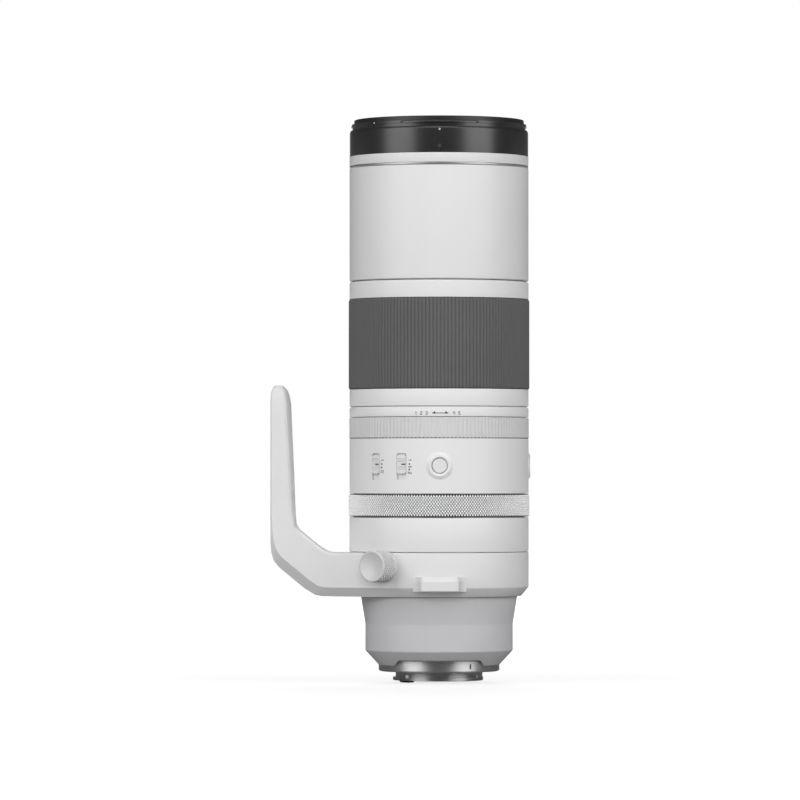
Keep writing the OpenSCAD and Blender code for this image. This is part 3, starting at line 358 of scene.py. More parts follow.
def setRadius(v, radius):
    scale = radius * mm / math.hypot(v.co.x, v.co.y)
    v.co.x, v.co.y = v.co.x * scale, v.co.y * scale


def addRod(bm, radius, depth, segments, matrix):
    bmesh.ops.create_cone(bm, cap_ends=True, segments=segments, radius1=radius * mm, radius2=radius * mm,
        depth=depth * mm, matrix=matrix)


def addBox(bm, size, matrix):
    across, deep, tall = size
    bmesh.ops.create_cube(bm, size=1, matrix=matrix @ Matrix.Diagonal((across * mm, deep * mm, tall * mm, 1)))


def bevelEdges(bm, edges, offset, segments):
    bmesh.ops.bevel(bm, geom=edges, affect="EDGES", offset=offset * mm, offset_type="OFFSET",
        segments=segments, profile=0.5, material=-1)


# turns a profile of (radius, height) points round the axis; one that isn't closed starts and ends on the axis
def turnProfile(points, steps=240, rounds=None, closed=True):
    bm = bmesh.new()
    corners = [bm.verts.new((r * mm, 0, z * mm)) for r, z in points]
    if closed:
        bm.faces.new(corners)
        for radius, which in (rounds or {}).items():
            bmesh.ops.bevel(bm, geom=[corners[i] for i in which], affect="VERTICES", offset=radius * mm,
                offset_type="OFFSET", segments=3, profile=0.5, material=-1, clamp_overlap=True)
        bmesh.ops.delete(bm, geom=bm.faces[:], context="FACES_ONLY")
    else:
        for a, b in zip(corners, corners[1:]):
            bm.edges.new((a, b))
    bmesh.ops.spin(bm, geom=bm.verts[:] + bm.edges[:], angle=math.tau, steps=steps, use_merge=True, **aboutAxis)
    bmesh.ops.remove_doubles(bm, verts=bm.verts, dist=0.000001)
    bmesh.ops.recalc_face_normals(bm, faces=bm.faces)
    return bm


# turns a drawn face through part of a turn and leaves both ends closed
def turnFace(points, start, span, steps):
    bm = bmesh.new()
    end = bm.faces.new([bm.verts.new((r * mm, 0, z * mm)) for r, z in points])
    move(bm, turned(start))
    bmesh.ops.duplicate(bm, geom=[end])
    bmesh.ops.spin(bm, geom=[end], angle=math.radians(span), steps=steps, **aboutAxis)
    bmesh.ops.remove_doubles(bm, verts=bm.verts, dist=0.000002)
    return bm


# one end's (radius, distance from the end) points, for the low end and turned over for the high end
def bothEnds(end, low, high, between=()):
    return [(r, low + d) for r, d in end] + list(between) + [(r, high - d) for r, d in reversed(end)]


def joinMesh(bm, other):
    spare = bpy.data.meshes.new("spare")
    other.to_mesh(spare)
    other.free()
    bm.from_mesh(spare)
    bpy.data.meshes.remove(spare)


# lays a flat drawing (x along the girth, y outwards, z up the axis) round the barrel
def wrapRound(bm, radius, angle, height):
    reach = int(max(abs(v.co.x) for v in bm.verts) / mm)
    for i in range(-reach, reach + 1):
        everything = bm.verts[:] + bm.edges[:] + bm.faces[:]
        bmesh.ops.bisect_plane(bm, geom=everything, plane_co=((i + 0.003) * mm, 0, 0), plane_no=(1, 0, 0))
    for v in bm.verts:
        turn = math.radians(angle) + v.co.x / (radius * mm)
        out = radius * mm + v.co.y
        v.co = (out * math.cos(turn), out * math.sin(turn), v.co.z + height * mm)


def applyModifiers(piece):
    shape = bpy.data.meshes.new_from_object(piece.evaluated_get(bpy.context.evaluated_depsgraph_get()))
    piece.modifiers.clear()
    before, piece.data = piece.data, shape
    bpy.data.meshes.remove(before)


def cutWith(piece, bm):
    cutter = addObject("cutter", bm)
    cut = piece.modifiers.new("cut", "BOOLEAN")
    cut.operation = "DIFFERENCE"
    cut.solver = "EXACT"
    cut.object = cutter
    applyModifiers(piece)
    bpy.data.objects.remove(cutter)


def cutRod(piece, radius, depth, segments, matrix):
    rod = bmesh.new()
    addRod(rod, radius, depth, segments, matrix)
    cutWith(piece, rod)


def shadeSmooth(piece, sharp):
    for face in piece.data.polygons:
        face.use_smooth = True
    piece.data.set_sharp_from_angle(angle=math.radians(sharp))


# even shading on the large faces of a piece that was cut
def keepShading(piece, sharp=28):
    shadeSmooth(piece, sharp)
    weigh = piece.modifiers.new("evenShade", "WEIGHTED_NORMAL")
    weigh.keep_sharp = True
    weigh.mode = "FACE_AREA"


def finishPiece(name, bm, body, finish, replaces=(), sharp=28):
    piece = addObject(name, bm, material[finish])
    shadeSmooth(piece, sharp)
    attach(piece, body)
    if replaces:
        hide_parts(*replaces)
    return piece


# Rear cover with its cut-away over the mount ring

rearCover = {"fit": 34.6, "low": 3.8, "radius": 42.1, "shoulder": 11.9, "crease": 27.2, "top": 42.6,
    "topRadius": 44.6, "topWall": 1.6, "wall": 1.7, "ledge": 6.5, "cutAngle": 42, "cutSlope": 12,
    "cutHeight": 3.3}
c = rearCover
inside = c["radius"] - c["wall"]
coverShape = turnProfile([(c["fit"], c["low"]), (c["radius"], c["shoulder"]), (c["radius"], c["crease"]),
    (c["topRadius"], c["top"]), (c["topRadius"] - c["topWall"], c["top"]), (inside, c["crease"]),
    (inside, c["shoulder"] + 0.3), (c["fit"] + 0.6, c["ledge"]), (c["fit"], c["ledge"])], steps=360,
    rounds={0.5: [1, 2]})
slope = (c["radius"] - c["fit"]) / (c["shoulder"] - c["low"])
for v in coverShape.verts:
    radius, turn, height = polar(v)
    if abs(height - c["low"]) < 0.05:
        share = min(1, max(0, (c["cutAngle"] - abs(turn - frontAngle)) / c["cutSlope"] + 0.5))
        rise = share * share * (3 - 2 * share) * c["cutHeight"]
        setRadius(v, radius * (1 + slope * rise / c["fit"]))
        v.co.z += rise * mm
# the rear cover takes the darker copy of the white paint: painted shade
finishPiece("rearCover", coverShape, "barrel", "rearPaint", ["rear_cover"], sharp=20)

# Rear band between the collar and the control ring

rearBand = {"inner": 44.3, "lip": 0.3, "groove": 0.6, "seat": 49.2, "bore": 48.0, "step": 1.7}
b = rearBand
low, high = seamLine["rearBand"] + seamLine["gap"], seamLine["control"] - b["groove"]
bandShape = turnProfile([(b["inner"], low), (barrelRadius, low), (barrelRadius, high), (b["seat"], high),
    (b["seat"], high - 1.6), (b["bore"], high - 3.0), (b["bore"], low + b["step"]),
    (b["inner"], low + b["step"])], rounds={b["lip"]: [1, 2]})
finishPiece("rearBand", bandShape, "barrel", "whitePaint", ["rear_band"])

# Label band

labelBand = {"inner": 48.95, "lip": 0.25, "groove": 0.55, "grooveRadius": 50.3}
b = labelBand
low, high = seamLine["label"] + 0.02, seamLine["zoom"]
bandShape = turnProfile([(b["inner"], low), (barrelRadius, low), (barrelRadius, high - b["groove"]),
    (b["grooveRadius"], high - b["groove"]), (b["grooveRadius"], high), (b["inner"], high)],
    rounds={b["lip"]: [1, 2]})
finishPiece("labelBand", bandShape, "barrel", "whitePaint", ["label_band"])

# Zoom ring, whose white ends hold the rubber grip

zoomRing = {"inner": 47.25, "band": 10, "seat": 49.9, "lip": 0.35, "seatLip": 0.2, "chamfer": 0.5, "land": 6,
    "relief": 1.2}
z = zoomRing
low, high = seamLine["zoom"] + seamLine["gap"], seamLine["front"] - seamLine["gap"]
gripLow, gripHigh = seamLine["zoom"] + z["band"], seamLine["front"] - z["band"]
bore = z["inner"] + z["relief"]
ringShape = turnProfile([(z["inner"], low), (barrelRadius, low), (barrelRadius, gripLow),
    (z["seat"], gripLow), (z["seat"], gripHigh), (barrelRadius, gripHigh),
    (barrelRadius, high - z["chamfer"]), (barrelRadius - z["chamfer"], high), (z["inner"], high),
    (z["inner"], high - z["land"]), (bore, high - z["land"]), (bore, low + z["land"]),
    (z["inner"], low + z["land"])], rounds={z["lip"]: [1], z["seatLip"]: [2, 5]})
finishPiece("zoomRing", ringShape, "zoom_ring", "whitePaint", ["zoom_ring"])
print("plain barrel rings made")


# Ribbed rings: a plain ring first, then the grooves between the ribs are pushed into it

def pushGrooves(bm, ring):
    step = 360 / (ring["ribs"] * len(ring["across"]))
    for v in bm.verts:
        radius, turn, height = polar(v)
        if radius > ring["ribsFrom"]:
            setRadius(v, radius - ring["groove"] * ring["across"][round(turn / step) % len(ring["across"])])


# short dark blocks at the ends of the grooves between the ribs: painted shade in the groove ends
def ringEndShades(name, count, stop, ends, body, finish):
    endShades = bmesh.new()
    for low, high in ends:
        addBox(endShades, (stop["outer"] - stop["inner"], stop["width"], high - low),
            placed((stop["inner"] + stop["outer"]) / 2, 0, (low + high) / 2))
    bmesh.ops.spin(endShades, geom=endShades.verts[:] + endShades.edges[:] + endShades.faces[:],
        angle=math.tau * (count - 1) / count, steps=count - 1, use_duplicate=True, **aboutAxis)
    finishPiece(name, endShades, body, finish)


zoomGrip = {"ribs": 153, "across": (1.0, 0.12, 0.0, 0.12), "groove": 0.55, "radius": 51.6, "ribsFrom": 50.2,
    "end": ((49.95, 0), (50.45, 0), (51.25, 0.35), (51.6, 1.1), (51.6, 2.0))}
g = zoomGrip
low, high = gripLow + 0.02, gripHigh - 0.02
gripShape = turnProfile(bothEnds(g["end"], low, high, [(g["radius"], (low + high) / 2)]), steps=g["ribs"] * 4)
pushGrooves(gripShape, g)
finishPiece("zoomGrip", gripShape, "zoom_ring", "gripRubber", ["zoom_grip"], sharp=24)
# black blocks at both ends of the grip's grooves: painted shade
gripEndShade = {"inner": 50.3, "outer": 51.06, "width": 1.0, "length": 0.6}
ringEndShades("gripStops", g["ribs"], gripEndShade, [(gripLow - gripEndShade["length"], gripLow + 0.05),
    (gripHigh - 0.05, gripHigh + gripEndShade["length"])], "zoom_ring", "blackPlastic")

tensionRing = {"ribs": 140, "across": (1.0, 0.2, 0.0, 0.2), "groove": 0.34, "ribsFrom": 50.0,
    "end": ((49.2, 0), (50.75, 0), (50.95, 0.15), (51.25, 0.6))}
t = tensionRing
low, high = seamLine["tension"] + 0.1, seamLine["label"] - seamLine["gap"]
tensionShape = turnProfile(bothEnds(t["end"], low, high), steps=t["ribs"] * 4)
pushGrooves(tensionShape, t)
finishPiece("tensionRing", tensionShape, "tension_ring", "greyPaint", ["tension_ring"], sharp=24)
# grey blocks at the low ends of the tension ring's grooves: painted shade
tensionEndShade = {"inner": 50.5, "outer": 51.1, "width": 1.15, "length": 0.6}
ringEndShades("tensionStops", t["ribs"], tensionEndShade, [(low, low + tensionEndShade["length"])], "tension_ring",
    "stopGrey")


# Diamond knurl: a grid is sunk, joined into diamonds, and each diamond is raised with a flat top

def knurl(bm, ring, low, high):
    step, rise = 180 / ring["columns"], (high - low) / ring["rows"]
    crests, hollows = [], []
    for v in bm.verts:
        radius, turn, height = polar(v)
        row = (height - low) / rise
        if abs(radius - ring["radius"]) > 0.02 or row < -0.01 or row > ring["rows"] + 0.01:
            continue
        onEdge = row < 0.5 or row > ring["rows"] - 0.5
        crest = (round(turn / step) + round(row)) % 2 == 0
        setRadius(v, radius - ring["depth"] * (0.98 if crest else 1))
        (crests if crest and not onEdge else hollows).append(v)
    chosen = set(crests + hollows)
    faces = [f for f in bm.faces if all(v in chosen for v in f.verts)]
    bmesh.ops.triangulate(bm, faces=faces, quad_method="SHORT_EDGE", ngon_method="BEAUTY")
    bmesh.ops.dissolve_verts(bm, verts=crests)
    sunk, diamonds = set(hollows), []
    for face in bm.faces:
        if len(face.verts) == 4 and all(v in sunk for v in face.verts):
            heights = [v.co.z / mm for v in face.verts]
            spans = sorted((abs(heights[0] - heights[2]), abs(heights[1] - heights[3])))
            if sum(spans) > 1.5 * rise and spans[0] < 0.1 * rise:
                diamonds.append(face)
    bmesh.ops.inset_individual(bm, faces=diamonds, thickness=ring["flank"] * mm, depth=ring["depth"] * mm,
        use_even_offset=True)


# the knurled side's (radius, height) points, one at each row of the grid
def knurlSide(ring, low, high):
    return [(ring["radius"], low + i * (high - low) / ring["rows"]) for i in range(ring["rows"] + 1)]


controlRing = {"columns": 202, "rows": 12, "radius": 51.6, "depth": 0.75, "flank": 0.28, "edge": 0.12,
    "inner": 49.2, "edgeRadius": 51.2}
k = controlRing
low, high = seamLine["control"] - 0.13, seamLine["panel"]
knurlLow, knurlHigh = low + k["edge"], high - k["edge"]
controlShape = turnProfile([(k["inner"], low), (k["edgeRadius"], low)] + knurlSide(k, knurlLow, knurlHigh)
    + [(k["edgeRadius"], high), (k["inner"], high)], steps=k["columns"] * 2)
knurl(controlShape, k, knurlLow, knurlHigh)
finishPiece("controlRing", controlShape, "control_ring", "knurlPaint", ["control_ring"], sharp=12)
print("ribbed and knurled rings made")

# Front barrel with its inlaid bright ring

frontBarrel = {"accentLow": 286.6, "accentHigh": 288.1, "seat": 50.25, "inner": 48.95, "tube": 45.9,
    "chamfer": 0.5, "rounding": 0.22, "clampTop": 260.1, "clampLow": 258.1}
b = frontBarrel
low, high = seamLine["front"] + seamLine["gap"], seamLine["hood"]
barrelShape = turnProfile([(b["inner"], low), (barrelRadius - b["chamfer"], low),
    (barrelRadius, low + b["chamfer"]), (barrelRadius, b["accentLow"]), (b["seat"], b["accentLow"]),
    (b["seat"], b["accentHigh"]), (barrelRadius, b["accentHigh"]), (barrelRadius, high), (b["inner"], high),
    (b["inner"], b["clampTop"] + 2.1), (b["inner"] + 0.05, b["clampTop"]), (b["tube"], b["clampTop"]),
    (b["tube"], b["clampLow"]), (b["inner"], b["clampLow"] - 1.0)], rounds={b["rounding"]: [3, 6, 7]})
# the front barrel takes the darker copy of the white paint: painted shade
finishPiece("frontBarrel", barrelShape, "front_group", "frontPaint", ["front_barrel"])

accentRing = {"low": 286.65, "high": 288.05, "end": ((50.25, 0), (50.85, 0), (50.97, 0.25))}
accentShape = turnProfile(bothEnds(accentRing["end"], accentRing["low"], accentRing["high"]))
finishPiece("accentRing", accentShape, "front_group", "accentMetal", ["accent_ring"])

# Hood mount ring: groove, bayonet tabs and their entry slots

hoodRing = {"radius": 51.0, "top": 308.4, "groove": 49.5, "tabLow": 310.4, "tabHigh": 311.8, "neck": 49.9,
    "bore": 48.6, "tabRadius": 50.6, "tabAngle": 50, "slope": 3, "rounding": 0.28}
h = hoodRing
hoodShape = turnProfile([(h["bore"], seamLine["hood"]), (h["radius"], seamLine["hood"]),
    (h["radius"], h["top"] - 1.2), (h["radius"] - 0.56, h["top"]), (h["groove"], h["top"]),
    (h["groove"], h["tabLow"]), (h["tabRadius"], h["tabLow"]), (h["tabRadius"], h["tabHigh"] - 0.7),
    (h["tabRadius"] - 0.35, h["tabHigh"]), (h["bore"], h["tabHigh"])], steps=360,
    rounds={h["rounding"]: [2, 3, 7, 8]})
for v in hoodShape.verts:
    radius, turn, height = polar(v)
    if height > h["tabLow"] - 0.01 and radius > h["neck"] + 0.1:
        fromTab = abs((turn - frontAngle + 60) % 120 - 60)
        share = min(1, max(0, (fromTab - h["tabAngle"] / 2) / h["slope"] + 0.5))
        setRadius(v, radius + (h["neck"] - radius) * share)
finishPiece("hoodRing", hoodShape, "front_group", "blackPaint", ["hood_mount_ring"])

# Filter ring with its thread

filterRing = {"rim": 48.5, "bore": 46.95, "top": 314.4, "threadLow": 308.6, "seat": 44.3, "pitch": 0.75,
    "depth": 0.35, "foot": 293.5, "footRadius": 45.95, "low": 306.2}
f = filterRing
threadTop, threadEnd = f["top"] - 0.8, f["threadLow"] - 0.2
thread = []
for i in range(int((threadTop - 0.1 - f["threadLow"]) / f["pitch"])):
    crest = threadTop - i * f["pitch"]
    thread += [(f["bore"] + f["depth"], crest), (f["bore"], crest - f["pitch"] * 0.5)]
filterShape = turnProfile([(f["seat"], f["low"]), (f["footRadius"], f["low"]), (f["footRadius"], f["foot"]),
    (f["rim"], f["foot"]), (f["rim"], f["top"] - 0.5), (f["rim"] - 0.15, f["top"] - 0.15),
    (f["rim"] - 0.5, f["top"]), (f["bore"] + 0.6, f["top"])] + thread + [(f["bore"], threadEnd),
    (f["seat"], threadEnd)])
finishPiece("filterRing", filterShape, "front_group", "blackAnodised", ["filter_ring"])

# Front cell with light traps on its inner wall

frontCell = {"inner": 44.35, "outer": 48.8, "low": 262.15, "lens": 45.55, "lensLow": 291.1, "land": 43.5,
    "top": 301.4, "traps": 12, "trapHigh": 290.5, "trapLow": 267.0, "trapDepth": 0.5, "trapRise": 1.2,
    "shoulder": 45.85}
f = frontCell
traps = []
for i in range(f["traps"]):
    edge = f["trapHigh"] - i * (f["trapHigh"] - f["trapLow"]) / f["traps"]
    traps += [(f["land"], edge), (f["land"] + f["trapDepth"], edge - f["trapRise"])]
step, landEnd = seamLine["hood"] - 0.05, f["trapLow"] - 0.8
cellShape = turnProfile([(f["inner"], f["low"]), (f["outer"], f["low"]), (f["outer"], step),
    (f["shoulder"], step), (f["shoulder"], f["top"]), (f["lens"], f["top"]), (f["lens"], f["lensLow"]),
    (f["land"], f["lensLow"])] + traps + [(f["land"], landEnd), (f["inner"], landEnd)], steps=180)
finishPiece("frontCell", cellShape, "front_group", "blackAnodised", ["front_cell"])

# Extension tube, seen when the lens is zoomed out

extensionTube = {"outer": 45.6, "inner": 44.3, "low": 117.3, "flangeLow": 260.1, "flangeHigh": 262.1,
    "flange": 48.9, "slot": 5.6, "slotAngle": -20, "slotTop": 140, "slotLength": 30, "slotDepth": 6}
e = extensionTube
tubeShape = turnProfile([(e["inner"], e["low"]), (e["outer"], e["low"]), (e["outer"], e["flangeLow"]),
    (e["flange"], e["flangeLow"]), (e["flange"], e["flangeHigh"]), (e["inner"], e["flangeHigh"])],
    rounds={0.15: [1]})
tube = finishPiece("extensionTube", tubeShape, "front_group", "whitePaint", ["extension_tube"])
for i in range(3):
    slotCut = bmesh.new()
    addRod(slotCut, e["slot"] / 2, e["slotDepth"], 32, aimOut(0, e["slotTop"], 45))
    addBox(slotCut, (e["slotDepth"], e["slot"], e["slotLength"]),
        placed(45, 0, e["slotTop"] - e["slotLength"] / 2))
    move(slotCut, turned(e["slotAngle"] + i * 120))
    cutWith(tube, slotCut)
keepShading(tube)
print("front group made")

# Mount: flange ring with its holes, bayonet tube and lugs, screws and contacts

mountRing = {"flange": 34.5, "thick": 6.5, "throat": 22.8, "tube": 25.15, "tubeEnd": -5.2, "lug": 26.35,
    "lugThick": 1.8, "lugSpan": 52, "screwCircle": 30}
m = mountRing
flangeShape = turnProfile([(m["throat"], m["thick"]), (m["throat"], 1.4), (m["throat"] + 0.35, -0.9),
    (m["throat"], m["tubeEnd"] + 0.3), (m["throat"] + 0.3, m["tubeEnd"]), (m["tube"] - 0.25, m["tubeEnd"]),
    (m["tube"], m["tubeEnd"] + 0.25), (m["tube"], -3.3), (m["tube"] - 0.35, -3.0), (m["tube"] - 0.35, -0.6),
    (m["tube"] + 0.1, 0.0), (33.2, 0.0), (33.3, 0.25), (m["flange"] - 0.5, 0.25), (m["flange"], 0.75),
    (m["flange"], m["thick"])], steps=360, rounds={0.12: [4, 5, 13, 14]})
mount = finishPiece("mountRing", flangeShape, "barrel", "mountMetal", ["bayonet_mount"],
    sharp=32)
screwTurns = (45, 135, 225, 315)
for turn in screwTurns:
    cutRod(mount, 2.15, 3.4, 36, onCircle(m["screwCircle"], turn))
cutRod(mount, 1.6, 6, 32, onCircle(29.6, 12))  # hole of the camera's locking pin
mount.data.materials.append(material["turnedMetal"])
for face in mount.data.polygons:
    if abs(face.normal.z) > 0.9:
        face.material_index = 1
keepShading(mount, 32)

lugShape = bmesh.new()
lugIn, lugOut, lugLow = m["throat"] + 1.2, m["lug"], m["tubeEnd"] + 0.12
for i in range(3):
    lug = turnFace([(lugIn, lugLow), (lugOut - 0.3, lugLow), (lugOut, lugLow + 0.3),
        (lugOut, lugLow + m["lugThick"]), (lugIn, lugLow + m["lugThick"])], 180 - m["lugSpan"] / 2 + i * 120,
        m["lugSpan"], 28)
    joinMesh(lugShape, lug)
finishPiece("mountLugs", lugShape, "barrel", "mountMetal", sharp=32)

# stop screw in the side of the bayonet tube and a smaller locating screw, as in the photo
tubeScrews = [{"turn": frontAngle - 45.7, "z": -2.6, "radius": 1.4, "out": 25.75, "recess": 0.35},
    {"turn": frontAngle + 59.7, "z": -2.6, "radius": 0.7, "out": 25.45, "recess": 0}]
headThick = 1.4
screwShape = bmesh.new()
for item in tubeScrews:
    head = bmesh.new()
    addRod(head, item["radius"], headThick, 32, Matrix.Identity(4))
    bevelEdges(head, [edge for face in head.faces if face.normal.z > 0.9 for edge in face.edges], 0.22, 2)
    if item["recess"]:
        cap = max((face for face in head.faces if face.normal.z > 0.9), key=lambda face: face.calc_area())
        bmesh.ops.inset_region(head, faces=[cap], thickness=0.5 * mm, depth=0)
        bmesh.ops.translate(head, verts=cap.verts, vec=(0, 0, -item["recess"] * mm))
    move(head, aimOut(item["turn"], item["z"], item["out"] - headThick / 2))
    joinMesh(screwShape, head)
finishPiece("tubeScrews", screwShape, "barrel", "brightSteel", sharp=30)

mountScrews = {"face": 0.12, "head": 2.0, "thick": 1.5, "shank": 1.0, "length": 7.8, "recess": 0.85,
    "slot": (0.75, 0.34, 0.26)}
s = mountScrews
under = s["face"] + s["thick"]
screwShape = bmesh.new()
for turn in screwTurns:
    screw = turnProfile([(0.001, 0.25), (s["recess"] * 0.35, 0.95), (s["recess"], 0.2),
        (s["recess"] + 0.02, s["face"]), (s["head"] - 0.35, s["face"]), (s["head"], 0.5), (s["head"], under),
        (s["shank"], under), (s["shank"], s["length"]), (0.001, s["length"])], steps=32)
    for side in range(4):
        addBox(screw, s["slot"], turned(side * 90) @ placed(0.95, 0, 0.24))
    move(screw, onCircle(m["screwCircle"], turn))
    joinMesh(screwShape, screw)
finishPiece("mountScrews", screwShape, "barrel", "darkSteel", ["mount_screws"], sharp=35)

contactBlock = {"inner": 16.65, "outer": 22.55, "low": -6.3, "high": 3.2, "half": 32.6, "chamfer": 0.8,
    "edge": 0.3}
k = contactBlock
blockShape = turnFace([(k["inner"], k["low"] + k["chamfer"]), (k["inner"] + k["chamfer"], k["low"]),
    (k["outer"] - k["edge"], k["low"]), (k["outer"], k["low"] + k["edge"]), (k["outer"], k["high"]),
    (k["inner"], k["high"])], 180 - k["half"], 2 * k["half"], 36)
finishPiece("contactBlock", blockShape, "barrel", "blackPlastic", ["contact_block"], sharp=32)

contactPins = {"count": 10, "circle": 20.0, "spread": 58, "radius": 0.72, "low": -6.43, "high": -6.1}
q = contactPins
pinShape = bmesh.new()
for i in range(q["count"]):
    pin = turnProfile([(0.001, q["low"]), (q["radius"] - 0.25, q["low"]), (q["radius"], q["low"] + 0.12),
        (q["radius"], q["high"]), (0.001, q["high"])], steps=24)
    move(pin, onCircle(q["circle"], 180 + (i - (q["count"] - 1) / 2) * q["spread"] / (q["count"] - 1)))
    joinMesh(pinShape, pin)
finishPiece("contactPins", pinShape, "barrel", "contactGold", ["contact_pins"], sharp=35)
print("camera mount made")

# Tripod collar: the ring, then the arm lofted from stations along its length

collarRing = {"inner": 44.3, "low": 42.9, "high": 68.0, "chamferIn": 4.2, "chamferUp": 5.2, "lip": 0.3,
    "rounding": 0.5}
c = collarRing
ringShape = turnProfile([(c["inner"], c["low"] + c["lip"]), (c["inner"] + c["lip"], c["low"]),
    (barrelRadius - c["chamferIn"], c["low"]), (barrelRadius, c["low"] + c["chamferUp"]),
    (barrelRadius, c["high"]), (c["inner"], c["high"])], steps=360, rounds={c["rounding"]: [2, 3],
    c["lip"]: [4]})
finishPiece("tripodCollar", ringShape, "tripod_collar", "collarPaint", ["tripod_collar"],
    sharp=20)

# each station: outer and inner point as (distance from the axis, height), bevel of the outer edge,
# rounding of the inner edge, how far down the side that rounding reaches, half width
armStations = [
    ((23.8, 42.9), (23.8, 67.5), 4.75, 0.5, 0.425, 17),
    ((36, 42.9), (36, 67.5), 4.72, 0.6, 0.51, 17),
    ((50, 42.9), (50, 67.5), 4.7, 0.7, 0.595, 17),
    ((60, 42.9), (57.5, 67.5), 4.7, 0.9, 0.765, 17),
    ((66.5, 42.95), (61.2, 67.7), 4.8, 1.2, 1.02, 17),
    ((70.5, 43.7), (63.6, 68.4), 5.0, 1.4, 1.19, 17),
    ((76, 46.9), (66.9, 70.2), 5.2, 1.5, 1.275, 17),
    ((84, 53.4), (73.4, 75.4), 5.2, 1.6, 1.36, 17),
    ((91.2, 59.4), (79.6, 80.6), 5.0, 1.9, 2.0, 17),
    ((94.2, 63.2), (80.9, 82.6), 4.6, 2.2, 7.0, 17),
    ((95.5, 67.6), (81.5, 84.8), 3.6, 2.5, 12.0, 17),
    ((96, 74.0), (81.8, 88.5), 2.2, 2.7, 13.0, 17),
    ((96, 84), (82.0, 93), 1.0, 2.8, 13.0, 17),
    ((96, 100), (82.3, 100), 0.8, 3.0, 13.0, 17),
    ((96, 114), (82.8, 113.5), 0.8, 3.2, 13.0, 17),
    ((96, 128), (83.4, 127), 0.8, 3.5, 13.0, 17),
    ((96, 142), (84.0, 139.5), 0.8, 3.8, 13.0, 17),
    ((96, 154.2), (84.5, 151.8), 0.8, 3.9, 12.0, 17),
    ((95.6, 159.0), (85.3, 156.8), 0.9, 3.6, 10.0, 16.4),
    ((94.6, 161.6), (86.7, 160.4), 1.0, 2.8, 7.0, 15.0),
    ((93.1, 162.9), (88.9, 162.7), 1.0, 1.5, 3.0, 13.2),
]
armSize = {"straightFrom": 78, "spread": 0.5208, "rootHalf": 45.24, "cutRadius": 46, "edge": 0.9}


def armSection(bm, station):
    (d0, z0), (d1, z1), outer, inner, fall, half = station
    depth = math.hypot(d1 - d0, z1 - z0)
    along = ((d1 - d0) / depth, (z1 - z0) / depth)

    def halfAt(d):
        flare = max(0, armSize["straightFrom"] - d) * armSize["spread"]
        return min(armSize["rootHalf"], half + flare)

    reach = min(outer * 1.1, depth * 0.45)
    line = [(0, halfAt(d0) - outer), (reach, halfAt(d0 + along[0] * reach))]
    for i in range(5):  # a quarter turn rounds the inner edge
        t = i * math.pi / 8
        line.append((depth - inner * (1 - math.sin(t)), halfAt(d1) - fall * (1 - math.cos(t))))
    points = line + [(t, -w) for t, w in reversed(line)]
    ring = [bm.verts.new((-(d0 + along[0] * t) * mm, w * mm, (z0 + along[1] * t) * mm)) for t, w in points]
    return ring, [bm.edges.new((ring[i - 1], ring[i])) for i in range(len(ring))]


armShape = bmesh.new()
sections = [armSection(armShape, station) for station in armStations]
for (ring, edges), (nextRing, nextEdges) in zip(sections, sections[1:]):
    bmesh.ops.bridge_loops(armShape, edges=edges + nextEdges)
for ring in (sections[0][0], sections[-1][0]):
    armShape.faces.new(ring)
arm = addObject("collarArm", armShape, material["collarPaint"])
soften = arm.modifiers.new("soften", "BEVEL")
soften.width = armSize["edge"] * mm
soften.segments = 4
soften.limit_method = "ANGLE"
soften.angle_limit = math.radians(24)
applyModifiers(arm)
cutRod(arm, armSize["cutRadius"], 80, 180, placed(0, 0, 60))

# two threaded sockets in the foot's outer face
sockets = {"z": (91.2, 127.5), "face": -96, "radius": 2.65, "depth": 8, "rim": 0.5, "pitch": 1.27}
s = sockets
threadShape = bmesh.new()
for height in s["z"]:
    bore = turnProfile([(0, s["depth"] + 1), (s["radius"], s["depth"] + 1), (s["radius"], s["rim"]),
        (s["radius"] + s["rim"] + 0.4, -0.4), (0, -0.4)], steps=48, closed=False)
    move(bore, aimOut(0, height, s["face"]))
    cutWith(arm, bore)
    for i in range(int(s["depth"] / s["pitch"])):
        crest = 1.2 + i * s["pitch"]
        ridge = turnProfile([(2.7, crest - 0.5), (2.7, crest + 0.5), (2.3, crest)], steps=36)
        move(ridge, aimOut(0, height, s["face"]))
        joinMesh(threadShape, ridge)
keepShading(arm, 30)
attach(arm, "tripod_collar")
finishPiece("socketThreads", threadShape, "tripod_collar", "steel", sharp=30)

# Boss and lock knob

knob = {"turn": 233.5, "z": 60.5, "bossRadius": 7.1, "bossFoot": 8.0, "bossFrom": 47.5, "bossTo": 51.9,
    "low": 52.2, "high": 64.5, "radius": 9.15, "columns": 28, "rows": 10, "depth": 0.8, "flank": 0.55,
    "dish": 1.5, "rim": 1.65}
k = knob
aimKnob = aimOut(k["turn"], k["z"])
bossShape = turnProfile([(0.001, k["bossFrom"]), (k["bossFoot"], k["bossFrom"]),
    (k["bossFoot"], k["bossTo"] - 1.0), (k["bossRadius"], k["bossTo"] - 0.4),
    (k["bossRadius"] - 0.3, k["bossTo"]), (0.001, k["bossTo"])], steps=72)
move(bossShape, aimKnob)
finishPiece("knobBoss", bossShape, "tripod_collar", "collarPaint", sharp=35)

